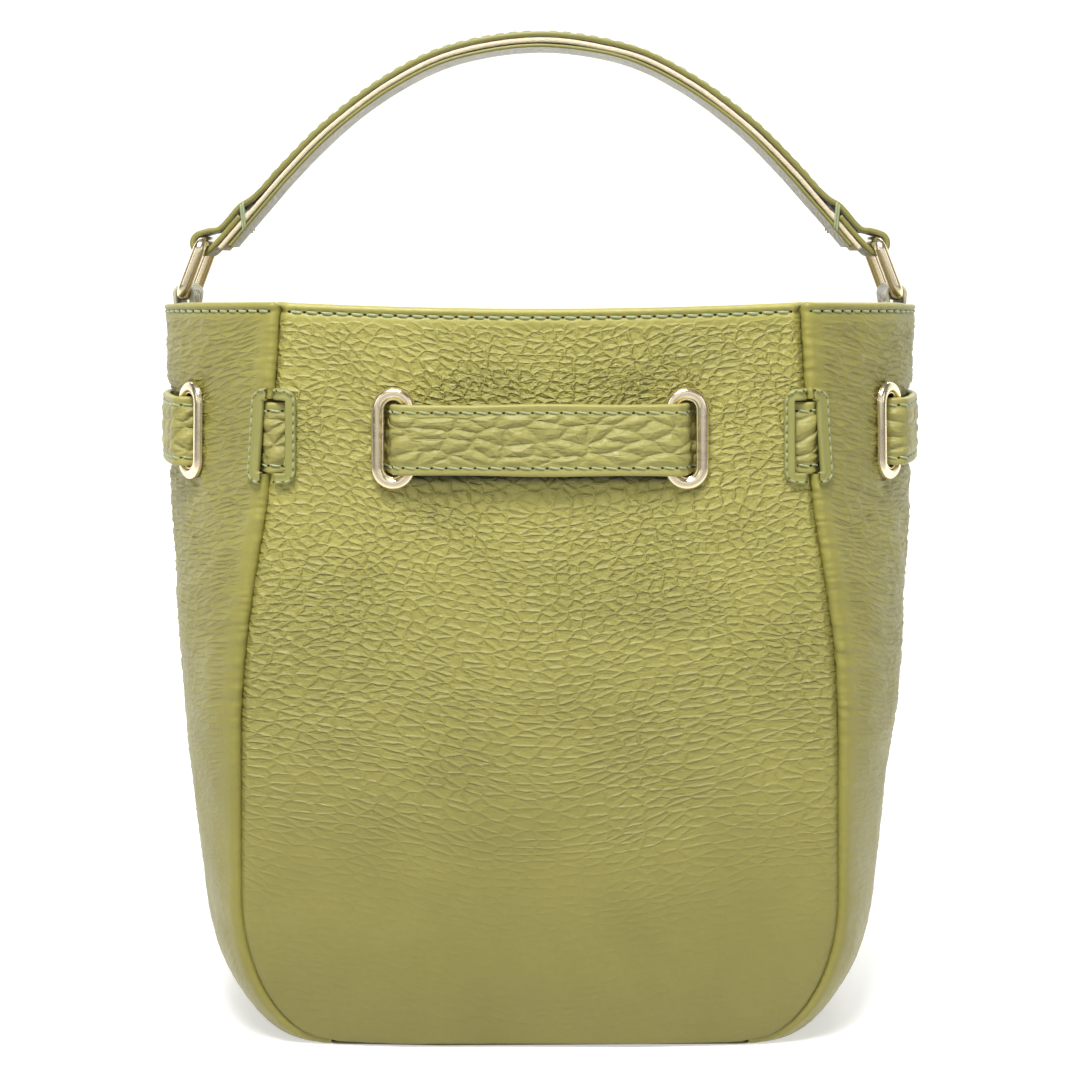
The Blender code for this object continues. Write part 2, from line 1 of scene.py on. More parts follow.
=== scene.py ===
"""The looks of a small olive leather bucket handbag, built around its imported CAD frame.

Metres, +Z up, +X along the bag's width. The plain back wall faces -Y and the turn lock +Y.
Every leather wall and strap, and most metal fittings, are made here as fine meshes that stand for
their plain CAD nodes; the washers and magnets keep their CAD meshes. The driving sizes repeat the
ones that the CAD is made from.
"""

import math

import bmesh
import bpy
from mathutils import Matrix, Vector
import numpy as np


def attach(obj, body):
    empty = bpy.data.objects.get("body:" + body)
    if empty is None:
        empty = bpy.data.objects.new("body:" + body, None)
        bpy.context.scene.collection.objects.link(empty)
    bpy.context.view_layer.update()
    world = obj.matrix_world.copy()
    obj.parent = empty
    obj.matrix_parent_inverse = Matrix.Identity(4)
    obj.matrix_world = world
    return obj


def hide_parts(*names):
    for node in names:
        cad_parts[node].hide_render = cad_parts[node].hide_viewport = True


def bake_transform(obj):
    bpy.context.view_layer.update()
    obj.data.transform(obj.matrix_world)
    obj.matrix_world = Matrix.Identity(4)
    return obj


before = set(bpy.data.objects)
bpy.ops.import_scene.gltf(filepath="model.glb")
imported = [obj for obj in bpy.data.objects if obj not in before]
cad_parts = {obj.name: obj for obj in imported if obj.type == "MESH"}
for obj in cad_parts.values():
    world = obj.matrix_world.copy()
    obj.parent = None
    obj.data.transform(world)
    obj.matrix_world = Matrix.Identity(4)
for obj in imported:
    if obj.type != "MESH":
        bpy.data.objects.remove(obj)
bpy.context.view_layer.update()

# Sizes of the bag ------------------------------------------------------------------------

BODY_HEIGHT = 0.207
CORNER_HEIGHT = 0.042
CORNER_WIDTH = 0.026
CORNER_EASE = 0.20         # how much less the sides bow where they turn in under the bag
LOWER_FULLNESS = 1.4       # how much rounder than a parabola the sides bow, below the middle
SEAM_LIFT = 0.0014
HALF_DEPTH = 0.056
BELLY = 0.002
CROWN = 0.002
# (half-width, height) of the seams, and (how far the sides bow past them, height)
SEAM_OUTLINE = [(0.0733, 0.207), (0.0768, 0.157), (0.0813, 0.126), (0.0840, 0.098),
                (0.0850, 0.042)]
BULGE_OUTLINE = [(0.0417, 0.207), (0.0366, 0.157), (0.0292, 0.126), (0.0238, 0.098),
                 (0.0150, 0.042)]
LEATHER = 0.0015
BELT_Z = 0.171
BELT_HEIGHT = 0.020
BELT_THICKNESS = 0.0022
BELT_OUTSIDE = 0.0036
BELT_INSIDE = -0.0047
BELT_PRESSED = 0.0002      # at the middle of each side, where the belt sinks into the leather
PANEL_EYELET_X = 0.0411
GUSSET_EYELET_T = 0.565
EYELET_OPENING = (0.0058, 0.0220)
SLOT = (0.0078, 0.0238)
WINDOW = (0.0716, 0.0778)
PATCH = (0.0685, 0.0812)
PATCH_HEIGHT = 0.025
LOCK_SLOT = (0.0090, 0.0150)
BASE_END_OFFSET = 0.0015
TIP_END_OFFSET = 0.0041
BELT_END_X = 0.014
RING_LOW = (0.1083, 0.2106)
RING_HIGH = (0.1024, 0.2262)
RING_BAR = 0.00185
RING_HALF_SPAN = 0.0123
STRAP_WIDTH = 0.020
HANDLE_SPINE = [(0.0, 0.2886), (0.0259, 0.2848), (0.0455, 0.2757), (0.0635, 0.2624),
                (0.0771, 0.2489), (0.0853, 0.2395), (0.0992, 0.2233)]
OUTER_LAYER = 0.0016
CORE_LAYER = 0.0015
INNER_LAYER = 0.0011
GAP = 0.0003
TAB_LEATHER = 0.0010
TAB_RADIUS = 0.0032

RIM_ROLL = 0.0014          # radius of the turned edge round the mouth
RIM_LIFT = 0.0024          # how much higher the rim stands at the seams than mid-panel
RIM_TILT = 0.0017          # how much the rim sinks from each seam at the back to the middle
FACING_DEPTH = 0.019
EDGE_PUFF = 0.0007         # how much the sides' leather swells towards their folded edges
FOLD = 0.0020              # radius of the gusset's folded edge along each seam
STITCH_BELOW_RIM = 0.0026
RIM_PITCH = 0.0043
BELT_PITCH = 0.0040
PATCH_PITCH = 0.0026
BELT_STITCH = 0.0077       # stitch lines above and below the belt's middle
GRAIN = (4.0, 2.5)         # an average pebble near the belt, in millimetres
WIDENING = 0.36            # how much of their closeness the pebbles lose lower down
FINE_CELLS = 2.1           # how many times finer the leather's second grain is
IRREGULAR = 0.80           # how far the pebbles stray from an even pattern

WINDOW_ROWS = (BELT_Z - BELT_HEIGHT / 2, BELT_Z + BELT_HEIGHT / 2)
BEAD_EDGE = (0.0060, 0.0085)   # outer radius of an eyelet's bead, and half its straight length
PEBBLE_DEPTH = 0.00034
STITCH_SINK = 0.00035           # how far the rim's stitch lines lie in the leather
CORNER_FLARE = 0.062            # how fast a panel's edge goes inwards, behind the gusset's fold
PANEL_END = 1.065               # the panels reach this share past the seams, under the folds
FOLD_T = 0.964                  # where a gusset's leather starts to fold back
FOLD_ANGLE = math.radians(205)
RIM_STEPS = 13
LOOP_ROOM = 0.00055        # between a ring's bar and the handle's loop
LINING_TOP = BODY_HEIGHT - 0.0178
STRAP_STITCH = 0.0078      # stitch rows on both sides of the handle's middle
STRAP_PITCH = 0.0042
TAB_PITCH = 0.0032
HEM_PITCH = 0.0030
RING_CORNER = 0.0030
COTTON = 0.0006


SIDES = (("left", -1), ("right", 1))
FACES = (("back", -1), ("front", 1))


# Repeatable noise ------------------------------------------------------------------------


def smoothstep(x):
    x = np.clip(x, 0.0, 1.0)
    return x * x * (3 - 2 * x)


def hashed(i, j, seed):
    """A repeatable number from 0 to 1 for each whole-number cell."""
    n = (i * 374761393 + j * 668265263 + seed * 97471131) & 0xFFFFFFFF
    n = ((n ^ (n >> 13)) * 1274126177) & 0xFFFFFFFF
    return (n ^ (n >> 16)) / 4294967296.0


def noise(x, y, seed=0):
    """Smooth noise from -1 to 1 with features about one unit across."""
    x, y = np.broadcast_arrays(np.asarray(x, float), np.asarray(y, float))
    i, j = np.floor(x).astype(np.int64), np.floor(y).astype(np.int64)
    sx, sy = smoothstep(x - i), smoothstep(y - j)
    near = hashed(i, j, seed) * (1 - sy) + hashed(i, j + 1, seed) * sy
    far = hashed(i + 1, j, seed) * (1 - sy) + hashed(i + 1, j + 1, seed) * sy
    return 2 * (near * (1 - sx) + far * sx) - 1


def grain_place(a, b, cell, seed):
    """Where a point in millimetres falls in a wandering pattern of cells about one unit across."""
    wa = a + 1.6 * noise(a / 12, b / 10, seed + 1)
    wb = b + 1.4 * noise(a / 14, b / 10, seed + 3)
    return np.stack(np.broadcast_arrays(wa / cell[0] + seed, wb / cell[1] + seed), -1)


def borders_tree():
    """Geometry nodes that measure each point's distance to the border of its cell."""
    tree = bpy.data.node_groups.new("borders", "GeometryNodeTree")
    for way in ("INPUT", "OUTPUT"):
        tree.interface.new_socket("Geometry", in_out=way, socket_type="NodeSocketGeometry")
    start = tree.nodes.new("NodeGroupInput")
    end = tree.nodes.new("NodeGroupOutput")
    cells = tree.nodes.new("ShaderNodeTexVoronoi")
    cells.voronoi_dimensions = "2D"
    cells.feature = "DISTANCE_TO_EDGE"
    cells.inputs["Scale"].default_value = 1.0
    cells.inputs["Randomness"].default_value = IRREGULAR
    store = tree.nodes.new("GeometryNodeStoreNamedAttribute")
    store.inputs["Name"].default_value = "border"
    place = tree.nodes.new("GeometryNodeInputPosition")
    tree.links.new(place.outputs[0], cells.inputs["Vector"])
    tree.links.new(start.outputs[0], store.inputs["Geometry"])
    tree.links.new(cells.outputs["Distance"], store.inputs["Value"])
    tree.links.new(store.outputs["Geometry"], end.inputs[0])
    return tree


def from_border(places):
    """Distance to the border of the same cells that the leather's material draws."""
    flat = places.reshape(-1, 2)
    mesh = bpy.data.meshes.new("places")
    mesh.vertices.add(len(flat))
    mesh.vertices.foreach_set("co", np.column_stack([flat, np.zeros(len(flat))]).ravel())
    obj = link("places", mesh)
    modifier = obj.modifiers.new("borders", "NODES")
    modifier.node_group = borders_tree()
    measured = obj.evaluated_get(bpy.context.evaluated_depsgraph_get()).data
    border = np.empty(len(flat), np.float32)
    measured.attributes["border"].data.foreach_get("value", border)
    tree = modifier.node_group
    bpy.data.objects.remove(obj)
    bpy.data.meshes.remove(mesh)
    bpy.data.node_groups.remove(tree)
    return border.reshape(places.shape[:-1]).astype(float)


def domed(places, shoulder=0.34):
    """Each pebble's height: 1 on its flat top, falling off to 0 at its border."""
    return smoothstep(from_border(places) / shoulder)


# Curves and surfaces ---------------------------------------------------------------------


def curve_through(points, steps):
    """Points along a Catmull-Rom curve through the given points, steps to each stretch."""
    pts = [np.array(p, dtype=float) for p in points]
    pts = [2 * pts[0] - pts[1]] + pts + [2 * pts[-1] - pts[-2]]
    curve = []
    for a, b, c, d in zip(pts, pts[1:], pts[2:], pts[3:]):
        for step in range(steps):
            t = step / steps
            bend = (2 * a - 5 * b + 4 * c - d) * t * t + (3 * b - a - 3 * c + d) * t ** 3
            curve.append(0.5 * (2 * b + (c - a) * t + bend))
    curve.append(pts[-2])
    return np.array(curve)


def along(points):
    """Distance travelled at each point of a path."""
    steps = np.linalg.norm(np.diff(points, axis=0), axis=1)
    return np.concatenate([[0.0], np.cumsum(steps)])


def read_along(at, travelled, rows):
    """The rows that belong to a path, read at distances along it."""
    return np.stack([np.interp(at, travelled, column) for column in rows.T], -1)


def resample(points, spacing):
    """The path again, with evenly spaced points."""
    travelled = along(points)
    at = np.linspace(0, travelled[-1], max(2, int(round(travelled[-1] / spacing)) + 1))
    return read_along(at, travelled, points)


def unit(vectors):
    return vectors / np.maximum(np.linalg.norm(vectors, axis=-1, keepdims=True), 1e-12)


def heading(path):
    return unit(np.gradient(path, axis=0))


def quarter_turn(flat):
    """Flat directions turned left by a quarter."""
    return np.stack([-flat[:, 1], flat[:, 0]], -1)


SEAM_CURVE = curve_through(SEAM_OUTLINE, 8)[::-1]
BULGE_CURVE = curve_through(BULGE_OUTLINE, 8)[::-1]
STRAIGHT = SEAM_OUTLINE[-1][0] - CORNER_WIDTH


def seam(v):
    """Half-width, true height and corner angle of the seam at a seam height."""
    angle = np.maximum(0.0, 1 - v / CORNER_HEIGHT) * math.pi / 2
    turned = STRAIGHT + CORNER_WIDTH * np.cos(angle)
    width = np.where(angle > 0, turned, np.interp(v, SEAM_CURVE[:, 1], SEAM_CURVE[:, 0]))
    drop = (CORNER_HEIGHT - SEAM_LIFT) * np.sin(angle)
    return width, np.where(angle > 0, CORNER_HEIGHT - drop, v), angle


def bulge_at(v):
    return np.interp(v, BULGE_CURVE[:, 1], BULGE_CURVE[:, 0])


def half_depth(z):
    return HALF_DEPTH + BELLY * np.sin(math.pi * np.clip(z / BODY_HEIGHT, 0, 1))


def rim_share(v):
    return smoothstep((v - 0.160) / 0.045)


def panel_wall(face):
    """The crowned back or front; its edges tuck in behind the gussets' folds."""
    def point(u, v):
        width, z, _ = seam(v)
        beyond = np.maximum(np.abs(u) - 1, 0)
        kept = smoothstep((v - CORNER_HEIGHT) / 0.030) * (1 - 0.6 * smoothstep((v - 0.184) / 0.016))
        u = u - np.sign(u) * beyond * (1 - kept)
        side = np.abs(u)
        tuck = 0.0036 * smoothstep((side - 0.970) / 0.040) + CORNER_FLARE * beyond
        depth = half_depth(z) + CROWN * (1 - u * u) - tuck
        dip = RIM_LIFT * (0.25 + 0.75 * np.minimum(side, 1) ** 2)
        lift = (dip - RIM_TILT * (1 + face)) * rim_share(v)
        return np.stack(np.broadcast_arrays(u * width, face * depth, z + lift), -1)
    return point


def gusset_wall(side):
    """A side, bowed outwards between its two seams and turned in under the bag."""
    def point(t, v):
        width, z, angle = seam(v)
        across = np.cos(angle) / CORNER_WIDTH
        down = np.sin(angle) / CORNER_HEIGHT
        length = np.hypot(across, down)
        bulge = bulge_at(np.maximum(v, CORNER_HEIGHT))
        round_power = 2 + LOWER_FULLNESS * np.clip((0.150 - v) / 0.060, 0, 1)
        bulge = bulge * (1 - np.abs(t) ** round_power) * (1 - CORNER_EASE * np.sin(angle))
        x = width + bulge * across / length
        lift = (RIM_LIFT - RIM_TILT * (1 + t)) * rim_share(v)
        height = np.maximum(z - bulge * down / length, 0.0) + lift
        return np.stack(np.broadcast_arrays(side * x, t * half_depth(z), height), -1)
    return point


def outward(wall, u, v):
    """The unit normals of a wall, pointing out of the bag."""
    step = 4e-4
    near = np.clip(v, 0.003, BODY_HEIGHT - step)
    sideways = wall(u + step, near) - wall(u - step, near)
    normal = unit(np.cross(sideways, wall(u, near + step) - wall(u, near - step)))
    outside = wall(u, v) - np.array((0, 0, BODY_HEIGHT / 2))
    turned = (normal * outside).sum(-1, keepdims=True) < 0
    return np.where(turned, -normal, normal)


def on_wall(wall, u, v, offset):
    u, v = np.broadcast_arrays(np.asarray(u, float), np.asarray(v, float))
    return wall(u, v) + outward(wall, u, v) * np.asarray(offset)[..., None]


def panel_u(x):
    """The panel's u at a half-width x, at the belt's height."""
    return x / seam(np.array(BELT_Z))[0]


def gusset_step(distance):
    """The change of t that covers a distance along a gusset, near its eyelets."""
    return distance / np.hypot(2 * bulge_at(BELT_Z) * GUSSET_EYELET_T, half_depth(BELT_Z))


def edge_puff(t):
    return EDGE_PUFF * smoothstep((np.abs(t) - 0.70) / 0.24)


# Meshes ----------------------------------------------------------------------------------


def link(name, data):
    obj = bpy.data.objects.new(name, data)
    bpy.context.scene.collection.objects.link(obj)
    return obj


def add_mesh(name, points, faces, material):
    mesh = bpy.data.meshes.new(name)
    mesh.from_pydata(np.asarray(points, float).reshape(-1, 3).tolist(), [], faces)
    mesh.materials.append(material)
    mesh.update()
    mesh.shade_smooth()
    return link(name, mesh)


def settle(obj, body, slot, *nodes):
    """Fix a piece to a body, in place of CAD nodes."""
    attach(obj, body)
    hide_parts(*nodes)


def grid_faces(rows, columns, loop_rows=False, loop_columns=False, keep=None):
    """Quads over a grid of points; keep says which of them stay."""
    index = np.arange(rows * columns).reshape(rows, columns)
    if loop_rows:
        index = np.vstack([index, index[:1]])
    if loop_columns:
        index = np.hstack([index, index[:, :1]])
    quads = np.stack([index[:-1, :-1], index[1:, :-1], index[1:, 1:], index[:-1, 1:]], -1)
    return (quads if keep is None else quads[keep]).reshape(-1, 4)


def tube_faces(rows, columns):
    """Quads round a tube of rings, and a face over each end."""
    last = (rows - 1) * columns
    ends = [list(range(columns)), list(range(last, last + columns))[::-1]]
    return grid_faces(rows, columns, loop_columns=True).tolist() + ends


def set_values(obj, shape, values, used=slice(None)):
    """Store what a leather's material reads, at the points of a mesh over a grid."""
    for key, value in values.items():
        if key == "grain":
            value = np.pad(value.reshape(-1, 2), ((0, 0), (0, 1)))
            layer = obj.data.attributes.new(key, "FLOAT_VECTOR", "POINT")
        else:
            value = np.broadcast_to(value, shape).ravel()
            layer = obj.data.attributes.new(key, "FLOAT", "POINT")
        field = "vector" if key == "grain" else "value"
        layer.data.foreach_set(field, value[used].astype(np.float32).ravel())


def add_grid(name, points, material, flip=False, values=None, **how):
    """A smooth mesh over a grid of points, without the points that no face uses."""
    shape = points.shape[:2]
    used, quads = np.unique(grid_faces(*shape, **how), return_inverse=True)
    quads = quads.reshape(-1, 4)[:, ::-1 if flip else 1]
    obj = add_mesh(name, points.reshape(-1, 3)[used], quads.tolist(), material)
    set_values(obj, shape, values or {}, used)
    return obj


def add_loft(name, sections, material, closed=False):
    """A closed surface through matching rings of points, capped unless it closes on itself."""
    rings = np.asarray(sections, float)
    shape = rings.shape[:2]
    round_faces = grid_faces(*shape, loop_rows=True, loop_columns=True).tolist() if closed else None
    obj = add_mesh(name, rings, round_faces or tube_faces(*shape), material)
    outside_out(obj)
    obj.data.set_sharp_from_angle(angle=math.radians(50))
    return obj


def outside_out(obj):
    build = bmesh.new()
    build.from_mesh(obj.data)
    bmesh.ops.recalc_face_normals(build, faces=build.faces)
    build.to_mesh(obj.data)
    build.free()


def thicken(obj, thickness):
    outside_out(obj)
    obj.modifiers.new("thickness", "SOLIDIFY").thickness = thickness


def stadium(width, height, arc_steps):
    """Points round an upright stadium, with the direction that points out of it at each."""
    radius = width / 2
    straight = height / 2 - radius
    ring = []
    for end, start in ((1, 0.0), (-1, math.pi)):
        for i in range(arc_steps + 1):
            angle = start + math.pi * i / arc_steps
            out = (math.cos(angle), math.sin(angle))
            ring.append(((radius * out[0], end * straight + radius * out[1]), out))
    return ring


def stadium_ring(name, place, width, height, profile, material):
    """A ring of constant profile round a stadium; place gives its centre and directions."""
    centre, across, up, normal = place
    sections = []
    for (a, b), (out_a, out_b) in stadium(width, height, 26):
        sections.append([centre + across * (a + out_a * reach) + up * (b + out_b * reach)
                         + normal * level for reach, level in profile])
    return add_loft(name, sections, material, closed=True)


# Thread and needle holes -----------------------------------------------------------------


class Sewing:
    """Collects stitches and their needle holes, to be made into one mesh of each."""

    def __init__(self, radius=0.00034):
        self.radius = radius
        self.thread = ([], [])
        self.holes = ([], [])

    @staticmethod
    def add(pile, rings, faces):
        points, all_faces = pile
        start = sum(len(ring) for ring in points)
        points += rings
        all_faces += [[start + k for k in face] for face in faces]

    def tube(self, path, normals):
        """One stitch: a thread that comes out of the leather, lies on it and goes back in."""
        beside = unit(np.cross(heading(path), normals))
        swell = self.radius * (1 - 0.35 * np.linspace(-1, 1, len(path)) ** 4)
        angles = np.arange(7) * 2 * math.pi / 7
        rings = [here + np.outer(np.cos(angles), side) * size * 1.15
                 + np.outer(np.sin(angles), normal) * size
                 for here, normal, side, size in zip(path, normals, beside, swell)]
        self.add(self.thread, rings, tube_faces(len(path), 7))

    def hole(self, place, forward, normal, length, width):
        """A small dimple where the needle went through, dark with painted shade."""
        side = np.cross(normal, forward)
        angles = np.arange(8) * math.pi / 4
        rings = [place + np.outer(np.cos(angles), forward) * length * reach
                 + np.outer(np.sin(angles), side) * width * reach + normal * level
                 for reach, level in ((1.0, 0.0), (0.86, 0.00005), (0.30, 0.00007))]
        faces = grid_faces(3, 8, loop_columns=True).tolist() + [list(range(16, 24))]
        self.add(self.holes, rings, faces)

    def line(self, path, normals, pitch, share=0.80, slant=0.06, hole=0.00042):
        """A row of stitches along a path that lies on the leather."""
        travelled = along(path)
        count = max(1, int(round(travelled[-1] / pitch)))
        pitch = travelled[-1] / count
        ends = np.linspace(-1, 1, 7)
        for i in range(count):
            at = (i + 0.5) * pitch + np.linspace(-0.5, 0.5, 7) * pitch * share
            spots = read_along(at, travelled, path)
            lean = unit(read_along(at, travelled, normals))
            beside = unit(np.cross(heading(spots), lean))
            wander = 0.00008 * (hashed(np.int64(i), np.int64(count), 5) - 0.5)
            spots = spots + beside * (ends * slant * pitch * 0.5 + wander)[:, None]
            rise = self.radius * 0.45 - 0.00045 * ends ** 6
            self.tube(spots + lean * rise[:, None], lean)
        for at in np.arange(count + 1) * pitch:
            behind, spot, ahead = read_along(at + np.array((-2e-4, 0, 2e-4)), travelled, path)
            normal = unit(read_along(at, travelled, normals))
            self.hole(spot, unit(ahead - behind), normal, hole * 1.25, hole * 0.85)

    def finish(self, name, body):
        # The needle holes are dark with painted shade.
        for suffix, (points, faces), material in (("stitches", self.thread, THREAD),
                                                  ("needle_hole_shades", self.holes, HOLE_SHADE)):
            obj = add_mesh(f"{name}_{suffix}", np.concatenate(points), faces, material)
            outside_out(obj)
            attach(obj, body)


# Materials -------------------------------------------------------------------------------


class Shader:
    """Wires a Principled material from texture nodes. A value is a number, a colour or a socket."""

    def __init__(self, name, **sockets):
        self.material = bpy.data.materials.new(name)
        self.material.use_nodes = True
        self.tree = self.material.node_tree
        self.surface = self.tree.nodes["Principled BSDF"]
        self.place = self.node("TexCoord").outputs["Object"]
        for key, value in sockets.items():
            socket = key.replace("_", " ").title().replace("Ior", "IOR")
            self.put(value, self.surface.inputs[socket])

    def put(self, value, socket):
        if isinstance(value, (int, float, tuple)):
            socket.default_value = value
        else:
            self.tree.links.new(value, socket)

    def node(self, kind, inputs=None, **settings):
        """A new node, with its settings made and its inputs set or linked."""
        node = self.tree.nodes.new("ShaderNode" + kind)
        for key, value in settings.items():
            setattr(node, key, value)
        for key, value in (inputs or {}).items():
            self.put(value, node.inputs[key])
        return node

    def math(self, operation, a, b):
        return self.node("Math", {0: a, 1: b}, operation=operation).outputs[0]

    def times(self, a, b):
        return self.math("MULTIPLY", a, b)

    def stretched(self, stretch):
        return self.node("Mapping", {"Scale": stretch, "Vector": self.place}).outputs[0]

    def noise(self, scale, detail, stretch=(1, 1, 1)):
        inputs = {"Scale": scale, "Detail": detail, "Vector": self.stretched(stretch)}
        return self.node("TexNoise", inputs).outputs["Fac"]

    def cells(self, scale, stretch=(1, 1, 1), feature="DISTANCE_TO_EDGE"):
        inputs = {"Scale": scale, "Vector": self.stretched(stretch)}
        return self.node("TexVoronoi", inputs, feature=feature).outputs["Distance"]

    def wave(self, scale, direction):
        inputs = {"Scale": scale, "Distortion": 0.0, "Detail": 1.0, "Vector": self.place}
        return self.node("TexWave", inputs, bands_direction=direction).outputs["Fac"]

    def attribute(self, name, output="Fac"):
        return self.node("Attribute", attribute_name=name).outputs[output]

    def borders(self, scale):
        """Distance to the border of the pebbles, in the pattern that the mesh carries."""
        place = self.attribute("grain", "Vector")
        wobble = self.node("TexNoise", {"Scale": 2.3, "Detail": 2.0, "Vector": place})
        inputs = {0: wobble.outputs["Color"], 1: (0.24, 0.24, 0.0), 2: place}
        moved = self.node("VectorMath", inputs, operation="MULTIPLY_ADD")
        inputs = {"Scale": scale, "Randomness": IRREGULAR, "Vector": moved.outputs[0]}
        return self.node("TexVoronoi", inputs, voronoi_dimensions="2D",
                         feature="DISTANCE_TO_EDGE").outputs["Distance"]

    def spread(self, value, low, high, start=0.0, end=1.0, shape="LINEAR"):
        inputs = {"Value": value, "From Min": start, "From Max": end, "To Min": low, "To Max": high}
        return self.node("MapRange", inputs, interpolation_type=shape).outputs[0]

    def ramp(self, value, low, high, start, end):
        return self.spread(value, low, high, start, end, "SMOOTHSTEP")

    def blend(self, factor, a, b, mode="MIX"):
        return self.node("Mix", {"Factor": factor, "A": a, "B": b},
                         data_type="RGBA", blend_type=mode).outputs["Result"]

    def axis(self, name):
        return self.node("SeparateXYZ", {0: self.place}).outputs[name]

    def colour(self, value):
        self.put(value, self.surface.inputs["Base Color"])

    def roughness(self, value):
        self.put(value, self.surface.inputs["Roughness"])

    def bump(self, *layers):
        """Stack (height, distance) layers into the surface's normal."""
        last = {}
        for height, distance in layers:
            inputs = {"Strength": 1.0, "Distance": distance, "Height": height, **last}
            last = {"Normal": self.node("Bump", inputs).outputs["Normal"]}
        self.put(last["Normal"], self.surface.inputs["Normal"])


def tint(colour, factor):
    return tuple(min(c * factor, 1.0) for c in colour) + (1.0,)


def leather(name, colour, roughness=0.46, pore=1.0, foot=1.0):
    """Dyed full-grain leather: pebbles parted by grooves, mottled colour, pores, soft sheen, with
    painted shade in the grooves, under the belt and towards the floor, and a painted reflection
    under straps.
    """
    made = Shader(name, specular_ior_level=0.45, sheen_weight=0.03, sheen_roughness=0.45,
                  coat_weight=0.05, coat_roughness=0.34)
    mottle = made.spread(made.noise(38, 4), 0.0, 1.0, 0.32, 0.68)
    tone = made.blend(mottle, tint(colour, 0.93), tint(colour, 1.07))
    fine = made.spread(made.noise(620, 2), 0.0, 1.0, 0.35, 0.65)
    warm = (colour[0] * 1.05, colour[1], colour[2] * 0.88)
    tone = made.blend(made.times(fine, 0.30), tone, tint(warm, 0.90))
    strength = made.attribute("strength")
    border = made.borders(1.0)
    groove = made.ramp(border, 1.0, 0.0, 0.0, 0.17)
    line = made.ramp(made.borders(FINE_CELLS), 0.22, 0.0, 0.0, 0.26)
    dome = made.ramp(border, 0.0, 1.0, 0.0, 0.46)
    crease_shade = made.times(made.math("MAXIMUM", groove, line), strength)
    raised = made.times(made.math("SUBTRACT", dome, made.times(groove, 0.60)), strength)
    lowered = made.times(line, made.times(strength, -1.0))
    worn = made.attribute("worn")
    # Painted reflection: a strap's underside is mixed towards this pale colour for the glare of the
    # white floor below.
    underside_glare = (0.66, 0.65, 0.56, 1.0)
    # Painted shade: the grooves and fine lines are darkened in the colour.
    tone = made.blend(made.times(crease_shade, 0.11), tone, tint(colour, 0.50))
    tone = made.blend(made.times(worn, 0.55), tone, tint(colour, 1.30))
    tone = made.blend(made.attribute("under"), tone, underside_glare)
    # Painted shadow: a dark line on the panel under the belt's lower edge.
    tone = made.blend(made.attribute("crevice_shade"), tone, tint(colour, 0.06))
    # Painted shade: the colour darkens towards the floor, down to the factor foot.
    if foot < 1:
        floor_shade = made.spread(made.axis("Z"), 1.0, 0.0, 0.0, 0.150)
        tone = made.blend(floor_shade, tone, (foot, foot * 0.97, foot * 0.86, 1.0), "MULTIPLY")
    made.colour(tone)
    rough = made.spread(made.noise(90, 3), roughness - 0.05, roughness + 0.07, 0.3, 0.7)
    made.roughness(made.math("SUBTRACT", rough, made.times(worn, 0.08)))
    depth = 0.00055
    made.bump((raised, depth),
              (lowered, depth * 0.8),
              (made.cells(1500, (1, 1, 1.3)), 0.00006 * pore),
              (made.noise(900, 5), 0.00010 * pore),
              (made.noise(210, 3), 0.00016 * pore))
    return made.material


def polished_metal(name, colour, roughness):
    made = Shader(name, metallic=1.0)
    made.colour(made.blend(made.noise(60, 3), tint(colour, 0.95), tint(colour, 1.03)))
    streaks = made.noise(260, 2, (1, 1, 6))
    made.roughness(made.spread(streaks, roughness - 0.03, roughness + 0.07, 0.3, 0.7))
    made.bump((made.noise(420, 2), 0.000012))
    return made.material


def woven(name, colour):
    """Plain cotton: over and under threads in both directions, with slubs."""
    made = Shader(name, roughness=0.88, sheen_weight=0.35, specular_ior_level=0.2)
    weave = made.math("MAXIMUM", made.wave(620, "X"), made.wave(620, "Z"))
    slub = made.noise(240, 3, (1, 1, 0.2))
    tone = made.blend(weave, tint(colour, 0.78), tint(colour, 1.08))
    made.colour(made.blend(made.times(slub, 0.35), tone, tint(colour, 0.85)))
    made.bump((weave, 0.00012), (slub, 0.00012), (made.noise(50, 2), 0.0004))
    return made.material


def sewing_thread(name, colour):
    made = Shader(name, roughness=0.55, sheen_weight=0.3)
    twist = made.cells(2400, feature="F1")
    tone = made.blend(made.noise(150, 2), tint(colour, 0.80), tint(colour, 1.12))
    made.colour(made.blend(made.times(twist, 0.5), tone, tint(colour, 0.6)))
    made.bump((twist, 0.00006))
    return made.material


def fibre(name, colour, roughness, stretch=(1, 1, 1)):
    """Raw leather edge, board or shadowed hole: short fibres and small pits."""
    made = Shader(name, roughness=roughness, specular_ior_level=0.25)
    strands = made.noise(700, 4, stretch)
    light = made.spread(strands, 0, 1, 0.35, 0.65)
    tone = made.blend(light, tint(colour, 0.80), tint(colour, 1.12))
    made.colour(made.blend(made.spread(made.noise(45, 2), 0, 0.4), tone, tint(colour, 0.72)))
    made.bump((strands, 0.00012), (made.noise(2300, 2), 0.00005))
    return made.material


def studio_floor(name):
    """White acrylic that glows with painted light from just in front of the bag backwards, so that
    shadows on it stay light; greyer and without glow further in front.
    """
    made = Shader(name, roughness=0.75, specular_ior_level=0.10,
                  emission_color=(1.0, 1.0, 1.0, 1.0))
    depth = made.axis("Y")
    pale = made.blend(made.noise(3, 2), (0.58, 0.58, 0.58, 1.0), (0.60, 0.60, 0.60, 1.0))
    ahead = made.ramp(depth, 1.0, 0.0, -0.22, -0.09)
    made.colour(made.blend(ahead, pale, (0.42, 0.42, 0.42, 1.0)))
    # Painted light: the floor's own emission, rising from y = -0.30 to y = -0.08.
    made.put(made.ramp(depth, 0.0, 0.50, -0.30, -0.08), made.surface.inputs["Emission Strength"])
    return made.material
